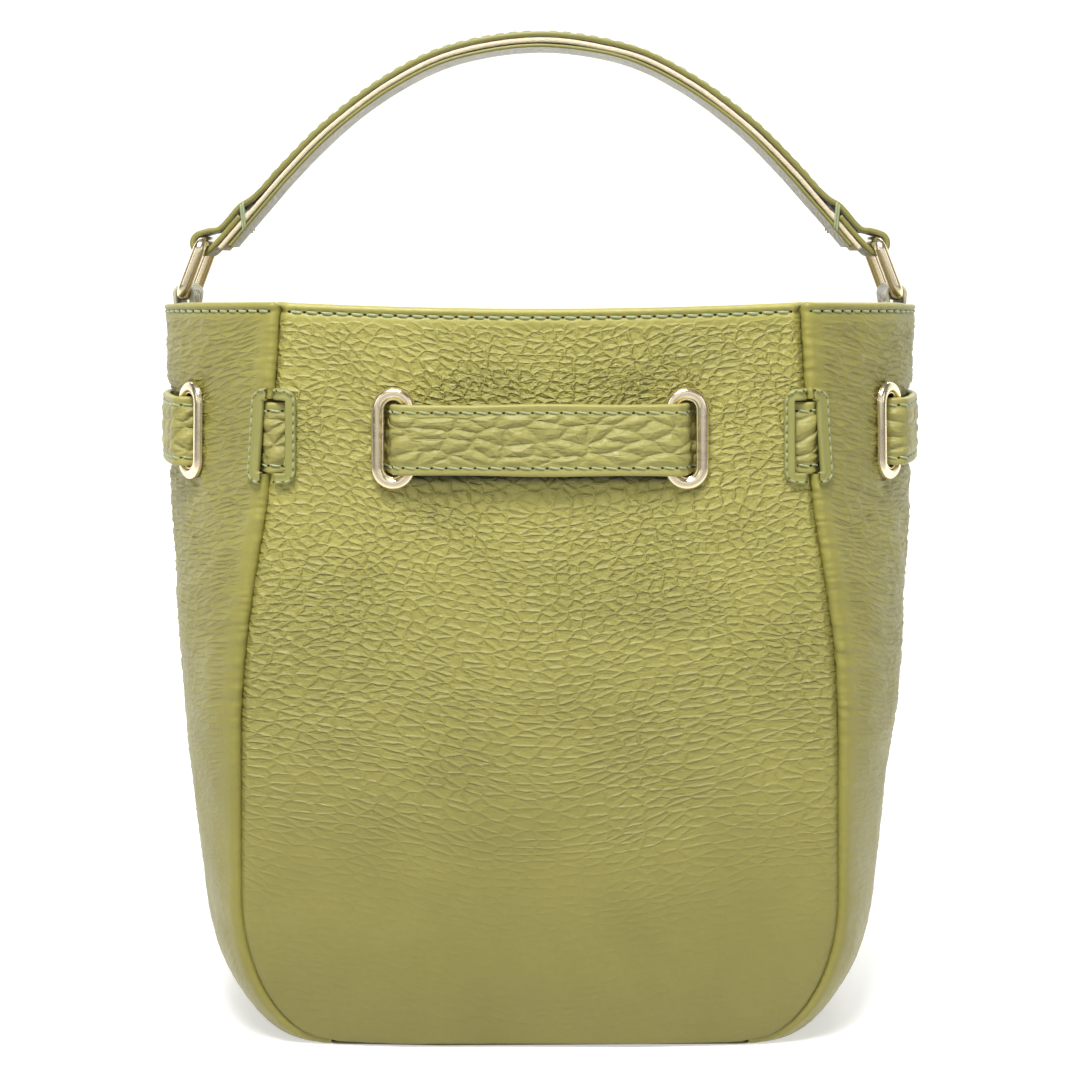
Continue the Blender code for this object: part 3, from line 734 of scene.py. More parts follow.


# foot darkens each wall towards the floor with painted shade.
PANEL_LEATHER = leather("panel_leather", (0.392, 0.360, 0.089), foot=0.47)
# The sides are a darker copy of the panels' leather: painted shade.
SHADED_SIDE_LEATHER = leather("shaded_side_leather", (0.305, 0.280, 0.062), foot=0.74)
# The sole's dark colour is painted shade.
SHADED_SOLE_LEATHER = fibre("shaded_sole_leather", (0.13, 0.115, 0.045), 0.7)
BELT_LEATHER = leather("belt_leather", (0.350, 0.322, 0.090), 0.47)
PATCH_LEATHER = leather("patch_leather", (0.300, 0.290, 0.082), pore=0.6)
STRAP_LEATHER = leather("strap_leather", (0.245, 0.230, 0.062), pore=0.7)
TAB_SURFACE = leather("tab_leather", (0.46, 0.45, 0.30), 0.40, 0.8)
CORE = fibre("raw_core", (0.82, 0.70, 0.50), 0.7, (1, 1, 4))
GOLD = polished_metal("pale_gold", (0.96, 0.83, 0.58), 0.20)
STEEL = polished_metal("nickel", (0.66, 0.64, 0.60), 0.28)
LINING = woven("cotton_lining", (0.55, 0.47, 0.33))
THREAD = sewing_thread("mint_thread", (0.40, 0.46, 0.23))
# Needle holes are drawn near black: painted shade.
HOLE_SHADE = fibre("needle_hole_shade", (0.030, 0.030, 0.012), 0.9)
BOARD = fibre("pressed_board", (0.30, 0.26, 0.20), 0.85)


# Leather walls ---------------------------------------------------------------------------


def snapped(values, cuts):
    """Grid lines with the nearest one moved onto each cut."""
    values = np.array(values, float)
    for cut in cuts:
        values[np.abs(values - cut).argmin()] = cut
    return values


def inverted(values, heights, count):
    """Heights at which a growing quantity reaches evenly spaced values."""
    return np.interp(np.linspace(0, values[-1], count), values, heights)


def heights_by_level(count):
    """Seam heights for the panels' rows, twice as close where the grain is strongest."""
    fine = np.linspace(0, BODY_HEIGHT - RIM_ROLL, 4000)
    level = seam(fine)[1]
    wanted = 1 + 1.1 * smoothstep((level - 0.030) / 0.040)
    reached = np.cumsum(np.diff(level) * (wanted[1:] + wanted[:-1]) / 2)
    return inverted(np.concatenate([[0], reached]), fine, count)


def heights_by_length(spacing):
    """Seam heights evenly spaced along the seam itself."""
    fine = np.linspace(0, BODY_HEIGHT - RIM_ROLL, 4000)
    travelled = along(np.stack(seam(fine)[:2], -1))
    return inverted(travelled, fine, int(travelled[-1] / spacing) + 1)


def beyond_straight(z, straight):
    return np.maximum(np.abs(z - BELT_Z) - straight, 0)


def in_slot(across, z):
    """Whether points lie in an eyelet's slot, by their distance across from its middle."""
    width, height = SLOT
    return np.hypot(across, beyond_straight(z, height / 2 - width / 2)) < width / 2


def near_slot(across, z, reach):
    """From 0 at an eyelet's outer edge to 1 at a reach from it."""
    radius, straight = BEAD_EDGE
    outside = np.hypot(across, beyond_straight(z, straight)) - radius
    return np.minimum(np.maximum(outside, 0) / reach, 1)


def rim_profile(below, distance):
    """The stitched edge: a soft bead, a pulled-in line under it, and a dimple at each stitch."""
    bead = 0.00035 * smoothstep(1 - np.abs(below - 0.0009) / 0.0014)
    groove = -0.00045 * np.exp(-((below - STITCH_BELOW_RIM) / 0.0007) ** 2)
    pull = 0.5 + 0.5 * np.cos(2 * math.pi * distance / RIM_PITCH)
    dimples = -0.00022 * pull * np.exp(-((below - STITCH_BELOW_RIM) / 0.0011) ** 2)
    return bead + groove, dimples


def rim_radius(t):
    """The sides' turned edge is thinner in the middle, where a ring swings down beside it."""
    return RIM_ROLL * (1 - 0.30 * smoothstep((0.46 - np.abs(t)) / 0.14))


def over_the_rim(base, normal, radius):
    """Rows that roll over the rim and go down inside as the facing."""
    up = np.array((0.0, 0.0, 1.0))
    radius = np.broadcast_to(radius, len(base))[:, None]
    rows = [base + normal * radius * (math.cos(angle) - 1) + up * radius * math.sin(angle)
            for angle in np.linspace(0, math.pi, RIM_STEPS)[1:]]
    rows += [rows[-1] - up * FACING_DEPTH * i / 14 for i in range(1, 15)]
    return np.array(rows)


def middles(lines, before=0, after=0):
    """The middles between grid lines, with places off the wall for the added ones."""
    inside = (lines[:-1] + lines[1:]) / 2
    return np.pad(inside, (before, after), constant_values=(-1.0, 1.0))


def rim_wear(worn, roll, extra=0):
    """The wear of a wall's rows, with extra rows under them and the worn rim over them."""
    over = extra + len(worn)
    worn = np.pad(worn, ((extra, len(roll)), (0, 0)))
    worn[over:over + 9] = 0.35
    return worn


def finish_wall(obj, kind, name):
    settle(obj, "bag", "olive_leather", f"{name}_{kind}", f"{name}_facing")


def below_rim(wall, u, v, z):
    """The distance under the rim, and how far the grain has set in below the stitches."""
    inner = wall(u, np.full_like(v, BODY_HEIGHT))[..., 2] - z
    return inner, smoothstep((inner - 0.0032) / 0.004)


def eyelet_pull(across, z, reach, depth, seed):
    """Creases that run out from an eyelet, and the hollow that it is pressed into."""
    near = 1 - near_slot(across, z, reach)
    creases = noise(np.arctan2(z - BELT_Z, across) * 6, z * 0, seed)
    return depth * near * creases, 0.0003 * near


def rim_rub(inner, amount):
    return amount * smoothstep(1 - np.abs(inner - 0.0005) / 0.0012)


def open_quads(across, u, v, window):
    """Which quads of a wall stay, beside its eyelets' slots and its halves of the windows."""
    low, high = WINDOW_ROWS
    return ~in_slot(across, v) & ~((np.abs(u) > window) & (v > low) & (v < high))


def belt_shadow_line(x, z):
    """The painted shadow that the belt's lower edge casts on the panel behind it, as a dark line.
    """
    line = smoothstep((z - (WINDOW_ROWS[0] - 0.0034)) / 0.0030)
    return 0.95 * line * (z < BELT_Z) * smoothstep((PANEL_EYELET_X - np.abs(x)) / 0.004)


def make_panel(face_name, face):
    wall = panel_wall(face)
    window = panel_u(WINDOW[0])
    u = snapped(np.linspace(-PANEL_END, PANEL_END, 242), (-window, window))
    v = snapped(heights_by_level(382), WINDOW_ROWS)
    uu, vv = np.meshgrid(u, v)
    place = wall(uu, vv)
    normal = outward(wall, uu, vv)
    x, z = place[..., 0], place[..., 2]
    a, b = x * 1000, z * 1000
    seed = 11 if face < 0 else 53

    arcs = b - 0.0075 * a * a / (1 + (a / 45) ** 2)
    closeness = 1 - WIDENING * smoothstep((0.158 - z) / 0.075)
    pattern = grain_place(a * closeness, arcs, GRAIN, seed)
    squeezed = np.exp(-((z - 0.1865) / 0.0045) ** 2) * smoothstep((0.036 - np.abs(x)) / 0.010)
    strong = 0.14 + 0.86 * smoothstep((z - 0.025) / 0.090) + 0.55 * squeezed
    strong = strong * (0.80 + 0.20 * noise(a / 30, b / 22, seed + 5))
    inner, calm = below_rim(wall, uu, vv, z)
    grain = PEBBLE_DEPTH * strong * (domed(pattern) - 1)
    drape = 0.00055 * noise(a / 34, b / 26, seed + 8) + 0.00022 * noise(a / 13, b / 9, seed + 9)
    edge = smoothstep((1.0 - np.abs(uu)) / 0.12)
    rays, dent = eyelet_pull(np.abs(x) - PANEL_EYELET_X, z, 0.009, 0.00055, seed)
    profile, dimples = rim_profile(inner, x)
    height = calm * (grain + drape * edge + rays - dent) + profile + dimples
    place = place + normal * height[..., None]

    roll = over_the_rim(place[-1], normal[-1], RIM_ROLL)
    curl = [place[0] + normal[0] * (0.0009 * math.cos(angle) - 0.0009)
            - np.array((0, 0, 0.0005)) * math.sin(angle)
            for angle in np.linspace(math.pi / 2, 0, 5)[:-1]]
    rows = ((len(curl), len(roll)), (0, 0))
    values = {"grain": np.pad(pattern, rows + ((0, 0),)),
              "strength": np.pad(calm * strong * smoothstep((z - 0.002) / 0.006), rows),
              "worn": rim_wear(rim_rub(inner, 0.35), roll, len(curl)),
              "crevice_shade": np.pad(belt_shadow_line(x, z), rows)}

    mu, mv = np.meshgrid(middles(u), middles(v, *rows[0]))
    mx = mu * seam(np.clip(mv, 0, BODY_HEIGHT))[0]
    keep = open_quads(np.abs(mx) - PANEL_EYELET_X, mu, mv, window)
    obj = add_grid(f"{face_name}_wall", np.concatenate([np.array(curl), place, roll]),
                   PANEL_LEATHER, flip=face > 0, keep=keep, values=values)
    finish_wall(obj, "panel", face_name)


def belt_dent(t, z):
    """How far the belt presses the sides in, between their eyelets."""
    band = smoothstep((0.0145 - np.abs(z - BELT_Z)) / 0.006)
    return 0.0019 * band * smoothstep((0.50 - np.abs(t)) / 0.22)


def make_gusset(side_name, side):
    wall = gusset_wall(side)
    edge_window = 1 - 0.022 - (LEATHER + GAP) / HALF_DEPTH
    t = snapped(np.linspace(-FOLD_T, FOLD_T, 152), (-edge_window, edge_window))
    v = snapped(heights_by_length(0.00058), WINDOW_ROWS)
    tt, vv = np.meshgrid(t, v)
    place = wall(tt, vv)
    normal = outward(wall, tt, vv)
    a = tt * np.hypot(HALF_DEPTH, bulge_at(vv)) * 1000
    b = vv * 1000
    z = place[..., 2]
    seed = 171 if side < 0 else 233

    level = b - 0.0022 * a * a
    pattern = grain_place(a, level, (7.0, 1.7), seed)
    wander = 0.6 * noise(a / 5, b / 5, seed + 2)
    folds = 1 - np.abs(noise(a / 7 + wander, level / 1.9, seed + 3)) * 2
    folds = np.maximum(folds, 0) ** 2
    upper = smoothstep((z - 0.045) / 0.10)
    strong = 0.14 + 0.34 * upper
    inner, calm = below_rim(wall, tt, vv, z)
    grain = PEBBLE_DEPTH * strong * (domed(pattern) - 1) + 0.00042 * (0.30 + 0.70 * upper) * folds
    drape = 0.0006 * noise(a / 30, b / 24, seed + 8) + 0.00025 * noise(a / 12, b / 10, seed + 9)
    drape = drape * smoothstep((1 - np.abs(tt)) / 0.15) * smoothstep(z / 0.02)
    across = (np.abs(tt) - GUSSET_EYELET_T) / gusset_step(1.0)
    rays, dent = eyelet_pull(across, z, 0.008, 0.00040, seed)
    pucker = smoothstep((np.abs(tt) - 0.88) / 0.09) * smoothstep(z / 0.01)
    profile, dimples = rim_profile(inner, a / 1000)
    height = calm * (grain + drape + rays - dent) + profile + dimples
    height = height + edge_puff(tt) - belt_dent(tt, z)
    height = height + 0.00016 * pucker * noise(a / 30, b / 1.6, seed + 12)
    height = height * smoothstep((z + 0.0004) / 0.004)
    place, normal, added = fold_edges(place + normal * height[..., None], normal)

    roll = over_the_rim(place[-1], normal[-1], rim_radius(np.pad(t, added, "edge")))
    points = np.concatenate([place, roll])
    points[..., 2] = np.maximum(points[..., 2], 0.0)
    added_to = ((0, len(roll)), (added, added))
    fading = smoothstep((FOLD_T - 0.012 - np.abs(tt)) / 0.05)
    edge_rub = 0.16 * smoothstep((np.abs(tt) - 0.84) / 0.12)
    worn = rim_wear(edge_rub + rim_rub(inner, 0.25), roll)
    values = {"grain": np.pad(pattern, added_to + ((0, 0),)),
              "strength": np.pad(calm * strong * fading, added_to),
              "worn": np.pad(worn, ((0, 0), (added, added)), "edge")}

    mt, mv = np.meshgrid(middles(t, added, added), middles(v, 0, len(roll)))
    across = (np.abs(mt) - GUSSET_EYELET_T) / gusset_step(1.0)
    obj = add_grid(f"{side_name}_side", points, SHADED_SIDE_LEATHER, flip=side < 0, values=values,
                   keep=open_quads(across, mt, mv, edge_window))
    finish_wall(obj, "gusset", side_name)


def fold_edges(place, normal):
    """Columns added at both sides, where the leather turns back on itself along the seam."""
    steps = 9
    turned = []
    for edge, inside in ((0, 4), (-1, -5)):
        tip, out = place[:, edge], normal[:, edge]
        toward = unit(tip - place[:, inside])
        rows = np.arange(len(tip))
        climb = unit(tip[np.minimum(rows + 12, len(tip) - 1)] - tip[np.maximum(rows - 12, 0)])
        radius = FOLD * (0.65 + 0.35 * smoothstep(tip[:, 2:] / 0.003))
        lean = unit(np.cross(toward, climb))
        lean = lean * np.sign((lean * out).sum(-1, keepdims=True))
        facings = [lean * math.cos(angle) + toward * math.sin(angle)
                   for angle in np.linspace(0, FOLD_ANGLE, steps + 1)[1:]]
        columns = [tip + (facing - lean) * radius for facing in facings]
        turned.append((np.stack(columns, 1), np.stack(facings, 1)))
    (before, before_out), (after, after_out) = turned
    places = np.concatenate([before[:, ::-1], place, after], 1)
    normals = np.concatenate([before_out[:, ::-1], normal, after_out], 1)
    return places, normals, steps


def make_base():
    """The sole: one leather made darker with painted shade, with a rounded edge, just inside the
    walls' lower edges.
    """
    half_x = STRAIGHT + GAP
    half_y = HALF_DEPTH - 0.0006
    around = np.linspace(0, 2 * math.pi, 161)[:-1]
    squareness = 0.02          # 0 makes a rectangle and 1 an ellipse
    cx = np.sign(np.cos(around)) * np.abs(np.cos(around)) ** squareness
    cy = np.sign(np.sin(around)) * np.abs(np.sin(around)) ** squareness
    levels = [(0.0, 0.0), (0.3, 0.0), (0.6, 0.0), (0.85, 0.0), (0.985, 0.0), (0.995, 0.0002),
              (1.0, 0.0006), (0.995, 0.0009), (0.96, 0.0012), (0.5, 0.0012), (0.0, 0.0012)]
    rings = []
    for share, level in levels:
        x, y = half_x * share * cx, half_y * share * cy
        y = y + np.sign(y) * CROWN * share ** 8 * (1 - (x / half_x) ** 2)
        scuffs = 0.00012 * (noise(x * 400, y * 400, 3) + 1) if level == 0.0 else 0.0
        rings.append(np.stack([x, y, level + scuffs * np.ones(len(x))], -1))
    sole = add_loft("sole", rings, SHADED_SOLE_LEATHER)
    settle(sole, "bag", "olive_leather", "base_panel")


# Seam windows, eyelets and rim stitching -------------------------------------------------


def wall_frame(wall, u):
    """Centre, sideways, upward and outward directions of a wall at the belt's height."""
    u, v = np.array([float(u)]), np.array([BELT_Z])
    normal = outward(wall, u, v)[0]
    across = unit(np.cross((0.0, 0.0, 1.0), normal))
    return wall(u, v)[0], across, np.cross(normal, across), normal


def arc(centre, radii, degrees):
    return [(centre[0] + radii[0] * math.cos(math.radians(d)),
             centre[1] + radii[1] * math.sin(math.radians(d))) for d in degrees]


def make_eyelets():
    """A round bead, a fine groove and a thin lip, with the barrel behind them."""
    profile = arc((0.00165, 0.00055), (0.00170, 0.00150), range(-10, 151, 16))
    profile += arc((0.00012, 0.00095), (0.00042, 0.00042), range(20, 200, 22))
    profile += [(0.0, -0.0029), (0.0005, -0.0029), (0.0005, 0.0002), (0.00335, 0.0002)]
    for face_name, face in FACES:
        for side_name, side in SIDES:
            where = f"{face_name}_{side_name}"
            for kind, wall, u in (("eyelet", panel_wall(face), side * panel_u(PANEL_EYELET_X)),
                                  ("side_eyelet", gusset_wall(side), face * GUSSET_EYELET_T)):
                ring = stadium_ring(f"{kind}_{where}_bead", wall_frame(wall, u),
                                    *EYELET_OPENING, profile, GOLD)
                settle(ring, "bag", "pale_gold", f"{kind}_{where}")
                use_material(f"{kind}_washer_{where}", STEEL)


def use_material(node, material):
    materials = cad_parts[node].data.materials
    materials.clear()
    materials.append(material)


def rounded_path(corners, radius, spacing):
    """A flat path with rounded corners."""
    pts = [np.array(c, float) for c in corners]
    path = [pts[0]]
    for before, corner, after in zip(pts, pts[1:], pts[2:]):
        start, end = (corner + unit(p - corner) * radius for p in (before, after))
        path += [(1 - s) ** 2 * start + 2 * s * (1 - s) * corner + s * s * end
                 for s in np.linspace(0, 1, 9)]
    path.append(pts[-1])
    return resample(np.array(path), spacing)


def make_patch(name, place_at, start, outer_edge, inner_edge, sewing, replaced):
    """A C-shaped frame of thin leather round half a window, sewn near its outer edge."""
    middle = (outer_edge + inner_edge) / 2
    width = abs(outer_edge - inner_edge)
    top, foot = (BELT_Z + way * (PATCH_HEIGHT / 2 - 0.0013) for way in (1, -1))
    corners = [(start, top), (middle, top), (middle, foot), (start, foot)]
    path = rounded_path(corners, 0.0022, 0.0004)
    beside = -quarter_turn(heading(path))
    profile = [(0.2, 0.00105), (0.6, 0.00135), (0.88, 0.0012), (0.97, 0.0008), (1.0, 0.0)]
    profile = [(-share, level) for share, level in profile[::-1]] + profile
    rows = []
    for share, level in profile:
        spots = path + beside * share * width / 2
        rows.append(place_at(spots[:, 0], spots[:, 1], level))
    patch = add_grid(name, np.array(rows), PATCH_LEATHER)
    thicken(patch, 0.0004)
    settle(patch, "bag", "olive_leather", replaced)
    outwards = 1 if outer_edge < inner_edge else -1
    path = resample(path + beside * outwards * 0.30 * width, 0.0003)
    line, above = (place_at(path[:, 0], path[:, 1], level) for level in (0.00125, 0.0020))
    sewing.line(line, unit(above - line), PATCH_PITCH, share=0.66, slant=0.05, hole=0.00036)


def make_patches():
    sewing = Sewing(0.00024)
    seam_x = float(seam(np.array(BELT_Z))[0])
    for face_name, face in FACES:
        for side_name, side in SIDES:

            def on_panel(x, z, level, wall=panel_wall(face), side=side):
                return on_wall(wall, side * x / seam(z)[0], z, level)

            def on_gusset(x, z, level, wall=gusset_wall(side), face=face):
                t = np.sqrt(np.clip(1 - (x - seam_x) / bulge_at(BELT_Z), 0, 1))
                return on_wall(wall, face * t, z, level + edge_puff(t))

            for kind, old, place_at, start, end in (("panel", "panel", on_panel, 0.0744, 0),
                                                    ("side", "gusset", on_gusset, 0.0770, 1)):
                where = f"{face_name}_{side_name}"
                make_patch(f"window_frame_{kind}_{where}", place_at, start, PATCH[end],
                           WINDOW[end], sewing, f"{old}_patch_{where}")
    sewing.finish("window", "bag")


def make_rim_stitching():
    sewing = Sewing(0.00036)

    def sew(wall, end, raised, way):
        u = np.linspace(-end, end, 400)
        v = np.full_like(u, BODY_HEIGHT - STITCH_BELOW_RIM)
        sewing.line(on_wall(wall, u, v, raised(u)), way * outward(wall, u, v), RIM_PITCH)

    for _, face in FACES:
        sew(panel_wall(face), 0.962, lambda u: -STITCH_SINK, 1)
        sew(panel_wall(face), 0.962, lambda u: -2 * RIM_ROLL, -1)
    for _, side in SIDES:
        sew(gusset_wall(side), 0.965, lambda t: edge_puff(t) - STITCH_SINK, 1)
        sew(gusset_wall(side), 0.93, lambda t: -(2 * rim_radius(t) - 0.00015), -1)
    sewing.finish("rim", "bag")


# Belt and lock ---------------------------------------------------------------------------


def wall_spots(wall, way, spots):
    """Places seen from above, at the belt's height, for (u, offset) pairs on one wall."""
    u, offset = (np.array(column, float) for column in zip(*spots))
    return list(on_wall(wall, way * u, np.full(len(u), BELT_Z), offset)[:, :2])


def quarter_route(side, face):
    """The belt's route from outside a panel, in through its eyelet, and out at the side."""
    dive = [(-0.0040, BELT_OUTSIDE), (-0.0026, BELT_OUTSIDE), (-0.0010, 0.0023), (0.0, -0.0005),
            (0.0010, -0.0034), (0.0026, BELT_INSIDE), (0.0040, BELT_INSIDE)]
    behind = ((0.052, BELT_INSIDE), (0.062, BELT_INSIDE), (0.0685, -0.0036), (0.0722, -0.0018))
    panel = [(panel_u(PANEL_EYELET_X + d), offset) for d, offset in dive]
    panel += [(panel_u(x), offset) for x, offset in behind]
    gusset = [(0.985, -0.0010), (0.955, -0.0018), (0.90, -0.0034), (0.78, BELT_INSIDE)]
    gusset += [(GUSSET_EYELET_T + gusset_step(d), offset) for d, offset in dive[::-1]]
    gusset += [(0.40, 0.0022), (0.30, 0.0010), (0.15, BELT_PRESSED)]
    return (wall_spots(panel_wall(face), side, panel)
            + wall_spots(gusset_wall(side), face, gusset))


def belt_route():
    """The whole strap: from its base end at the front, round the bag, to its tip end."""
    def across(face, offset, *places):
        return wall_spots(panel_wall(face), 1, [(panel_u(x), offset) for x in places])

    def round_side(side, face):
        apex = wall_spots(gusset_wall(side), 1, [(0.0, BELT_PRESSED)])
        return quarter_route(side, face) + apex + quarter_route(side, -face)[::-1]

    half_slot = LOCK_SLOT[0] / 2
    return (across(1, BASE_END_OFFSET, BELT_END_X, 0.005, -0.005, -BELT_END_X, -0.024)
            + round_side(-1, 1) + across(-1, BELT_OUTSIDE, -0.018, 0.0, 0.018) + round_side(1, -1)
            + across(1, TIP_END_OFFSET, 0.026, BELT_END_X, half_slot, -half_slot, -BELT_END_X))


def belt_section():
    """(height share, outward share, is on the outer face) round the belt's cross-section."""
    round_edge = np.linspace(0.35, math.pi - 0.35, 6)
    outer = [(h, 1.0, 1.0) for h in np.linspace(-0.93, 0.93, 31)]
    top = [(0.93 + 0.07 * math.sin(a), math.cos(a), 0.0) for a in round_edge]
    inner = [(h, -1.0, 0.0) for h in np.linspace(0.93, -0.93, 13)]
    foot = [(-h, -level, 0.0) for h, level, _ in top]
    return np.array(outer + top + inner + foot)


def out_of_belt(path):
    """Level directions that point out of the bag, along the belt's path."""
    out = quarter_turn(heading(path))
    middle = len(path) // 2
    return out if (out[middle] * path[middle]).sum() >= 0 else -out


def belt_waver(a, b):
    return 0.00035 * noise(a / 26, b / 40, 91)


def make_belt():
    path = resample(curve_through(belt_route(), 14), 0.00085)
    travelled = along(path)
    share, level, face = belt_section().T
    s = travelled[:, None]
    to_end = np.minimum(travelled, travelled[-1] - travelled)
    round_end = np.sqrt(np.clip(1 - np.clip(1 - to_end / 0.010, 0, 1) ** 2.6, 0, 1))
    tall = BELT_HEIGHT / 2 * np.maximum(round_end, 0.05)[:, None]
    h = share * tall
    a, b = s * 1000 + 0 * h, h * 1000
    pattern = grain_place(a, b + 2.6 * noise(a / 15, b / 12, 75), (8.0, 4.3), 71)
    domes = domed(pattern, 0.30)
    flow = noise(a / 9, b / 2.6 + 1.2 * noise(a / 14, b / 9, 82), 81)
    flow = np.maximum(1 - 2.4 * np.abs(flow), 0)
    in_line = np.exp(-((np.abs(h) - BELT_STITCH) / 0.0007) ** 2)
    margin = smoothstep((BELT_STITCH - 0.0004 - np.abs(h)) / 0.0018)
    pulls = 0.5 + 0.5 * np.cos(2 * math.pi * s / BELT_PITCH)
    relief = face * (margin * (PEBBLE_DEPTH * (domes - 1) - PEBBLE_DEPTH * flow + PEBBLE_DEPTH)
                     - in_line * (0.00022 + 0.00014 * pulls))
    waver = belt_waver(a, b) + 0.00012 * noise(a / 7, b / 20, 92)
    outwards = level * BELT_THICKNESS / 2 + relief + waver
    z = BELT_Z + h + 0.00022 * noise(a / 22, 0 * b, 93) * np.sign(h)
    xy = path[:, None, :] + out_of_belt(path)[:, None, :] * outwards[..., None]
    values = {"grain": pattern, "strength": face * margin * 0.85,
              "worn": 0.55 * smoothstep((np.abs(h) / tall - 0.93) / 0.04)}

    tip_middle = np.interp(0.0, path[::-1, 0][:40], travelled[::-1][:40])
    radius, half_slot = (size / 2 + 0.0006 for size in LOCK_SLOT)
    mid_s = (travelled[:-1] + travelled[1:]) / 2
    mid_h = BELT_HEIGHT / 2 * (share + np.roll(share, -1)) / 2
    beyond = np.maximum(np.abs(mid_h) - (half_slot - radius), 0)
    keep = np.hypot(mid_s[:, None] - tip_middle, beyond) > radius
    belt = add_grid("belt_strap", np.concatenate([xy, z[..., None]], -1), BELT_LEATHER,
                    loop_columns=True, keep=keep, values=values)
    outside_out(belt)
    settle(belt, "bag", "belt_leather", "belt")

    sewing = Sewing(0.00027)
    fine = resample(path, 0.0004)
    side = np.pad(out_of_belt(fine), ((0, 0), (0, 1)))
    ends = slice(12, -12)
    for height in (BELT_STITCH, -BELT_STITCH):
        waver = belt_waver(along(fine) * 1000, np.full(len(fine), height * 1000))
        raised = BELT_THICKNESS / 2 - 0.00018 + waver
        line = np.column_stack([fine, np.full(len(fine), BELT_Z + height)]) + side * raised[:, None]
        sewing.line(line[ends], side[ends], BELT_PITCH, share=0.86, slant=0.16, hole=0.00036)
    sewing.finish("belt", "bag")


def stacked(name, outline, levels):
    """A gold piece built up along +Y from (width share, height share, y) levels."""
    return add_loft(name, [[(a * wide, y, BELT_Z + b * tall) for (a, b), _ in outline]
                           for wide, tall, y in levels], GOLD)


def make_lock():
    """A turn lock: plate with its post, the frame round the belt tip's slot, and the knob."""
    wall = half_depth(BELT_Z) + CROWN
    plate_low, frame_low = (wall + offset + BELT_THICKNESS / 2 + GAP
                            for offset in (BASE_END_OFFSET, TIP_END_OFFSET))
    frame_high = frame_low + 0.0012
    knob_low = frame_high + 0.0007
    place = (np.array((0.0, 0.0, BELT_Z)), np.array((-1.0, 0, 0)), np.array((0, 0, 1.0)),
             np.array((0, 1.0, 0)))
    rounded = [(0.0003, frame_low), (0.0020, frame_low), (0.0024, frame_low + 0.0003),
               (0.0024, frame_high - 0.0004), (0.0020, frame_high), (0.0008, frame_high + 0.0001),
               (0.0001, frame_high - 0.0004), (0.0, frame_low), (0.0, frame_low - 0.0024),
               (0.0003, frame_low - 0.0024)]
    surround = stadium_ring("lock_surround", place, *LOCK_SLOT, rounded, GOLD)
    settle(surround, "bag", "pale_gold", "lock_frame")
    plate = stacked("lock_plate", stadium(0.0070, 0.0130, 20),
                    [(1, 1, plate_low), (1, 1, plate_low + 0.0009),
                     (0.95, 0.97, plate_low + 0.0012), (0.55, 0.30, plate_low + 0.0012),
                     (0.5, 0.27, plate_low + 0.0015), (0.5, 0.27, knob_low - GAP)])
    settle(plate, "bag", "pale_gold", "lock_base")
    lying = [((b, a), out) for (a, b), out in stadium(0.0056, 0.0120, 20)][::-1]
    knob = stacked("turn_knob", lying,
                   [(wide, tall, knob_low + up) for wide, tall, up in
                    ((0.96, 0.92, 0), (1, 1, 0.0003), (1, 1, 0.0013), (0.97, 0.93, 0.0018),
                     (0.90, 0.80, 0.0022), (0.76, 0.56, 0.0024))])
    settle(knob, "lock_knob", "pale_gold", "lock_knob")


# Handle, rings and tabs ------------------------------------------------------------------


class Spine:
    """The handle's centre curve, read by the distance before its end under a ring's bar."""

    def __init__(self, outline):
        whole = curve_through(mirrored(outline), 24)
        self.points = whole[len(whole) // 2:]
        self.distance = along(self.points)
        self.length = self.distance[-1]

    def spot(self, before_end, raised):
        at = self.length - before_end + np.array((-0.0005, 0.0, 0.0005))
        behind, here, ahead = read_along(at, self.distance, self.points)
        forward = unit(ahead - behind)
        return here + np.array((-forward[1], forward[0])) * raised

    def half(self, end, raised, count=40):
        span = self.length - end
        return [self.spot(end + span * (1 - i / count), raised) for i in range(count + 1)]


def mirrored(half):
    return np.array([(-x, z) for x, z in half[:0:-1]] + [tuple(p) for p in half])


def outer_half(spine):
    """The outer layer: along the handle, over the ring's bar, round it, and back underneath."""
    lie = GAP + OUTER_LAYER / 2
    loop = RING_BAR + LOOP_ROOM + OUTER_LAYER / 2
    path = [spine.spot(a, lie + b) for a, b in ((0.026, 0.0), (0.020, 0.0007), (0.0155, 0.0020),
                                               (0.0072, 0.0021), (0.0043, 0.0042))]
    bar = spine.spot(0.0, lie + loop)
    up = (bar - spine.spot(0.0, 0.0)) / (lie + loop)
    direction = np.array((up[1], -up[0]))
    for degrees in range(125, -91, -24):
        angle = math.radians(degrees)
        path.append(bar + loop * (direction * math.cos(angle) + up * math.sin(angle)))
    path += [spine.spot(a, lie) for a in (0.004, 0.009, 0.0135)]
    return spine.half(0.026, lie)[:-1] + list(curve_through(path, 6))


def strap_section(width, thickness):
    """(y, height, face) round a strap's cross-section, which has rounded edges."""
    edge = min(thickness * 0.42, 0.0006)
    flat = np.linspace(-1, 1, 27) * (width / 2 - edge)
    bends = ((0.5, 1), (1.1, 1), (math.pi - 1.1, -1), (math.pi - 0.5, -1))
    right = [(width / 2 - edge + edge * math.sin(q),
              way * (thickness / 2 - edge) + edge * math.cos(q), 0.0) for q, way in bends]
    right.insert(2, (width / 2, 0.0, 0.0))
    upper = [(y, thickness / 2, 1.0) for y in flat]
    around = upper + right
    return np.array(around + [(-y, -z, -face) for y, z, face in around])


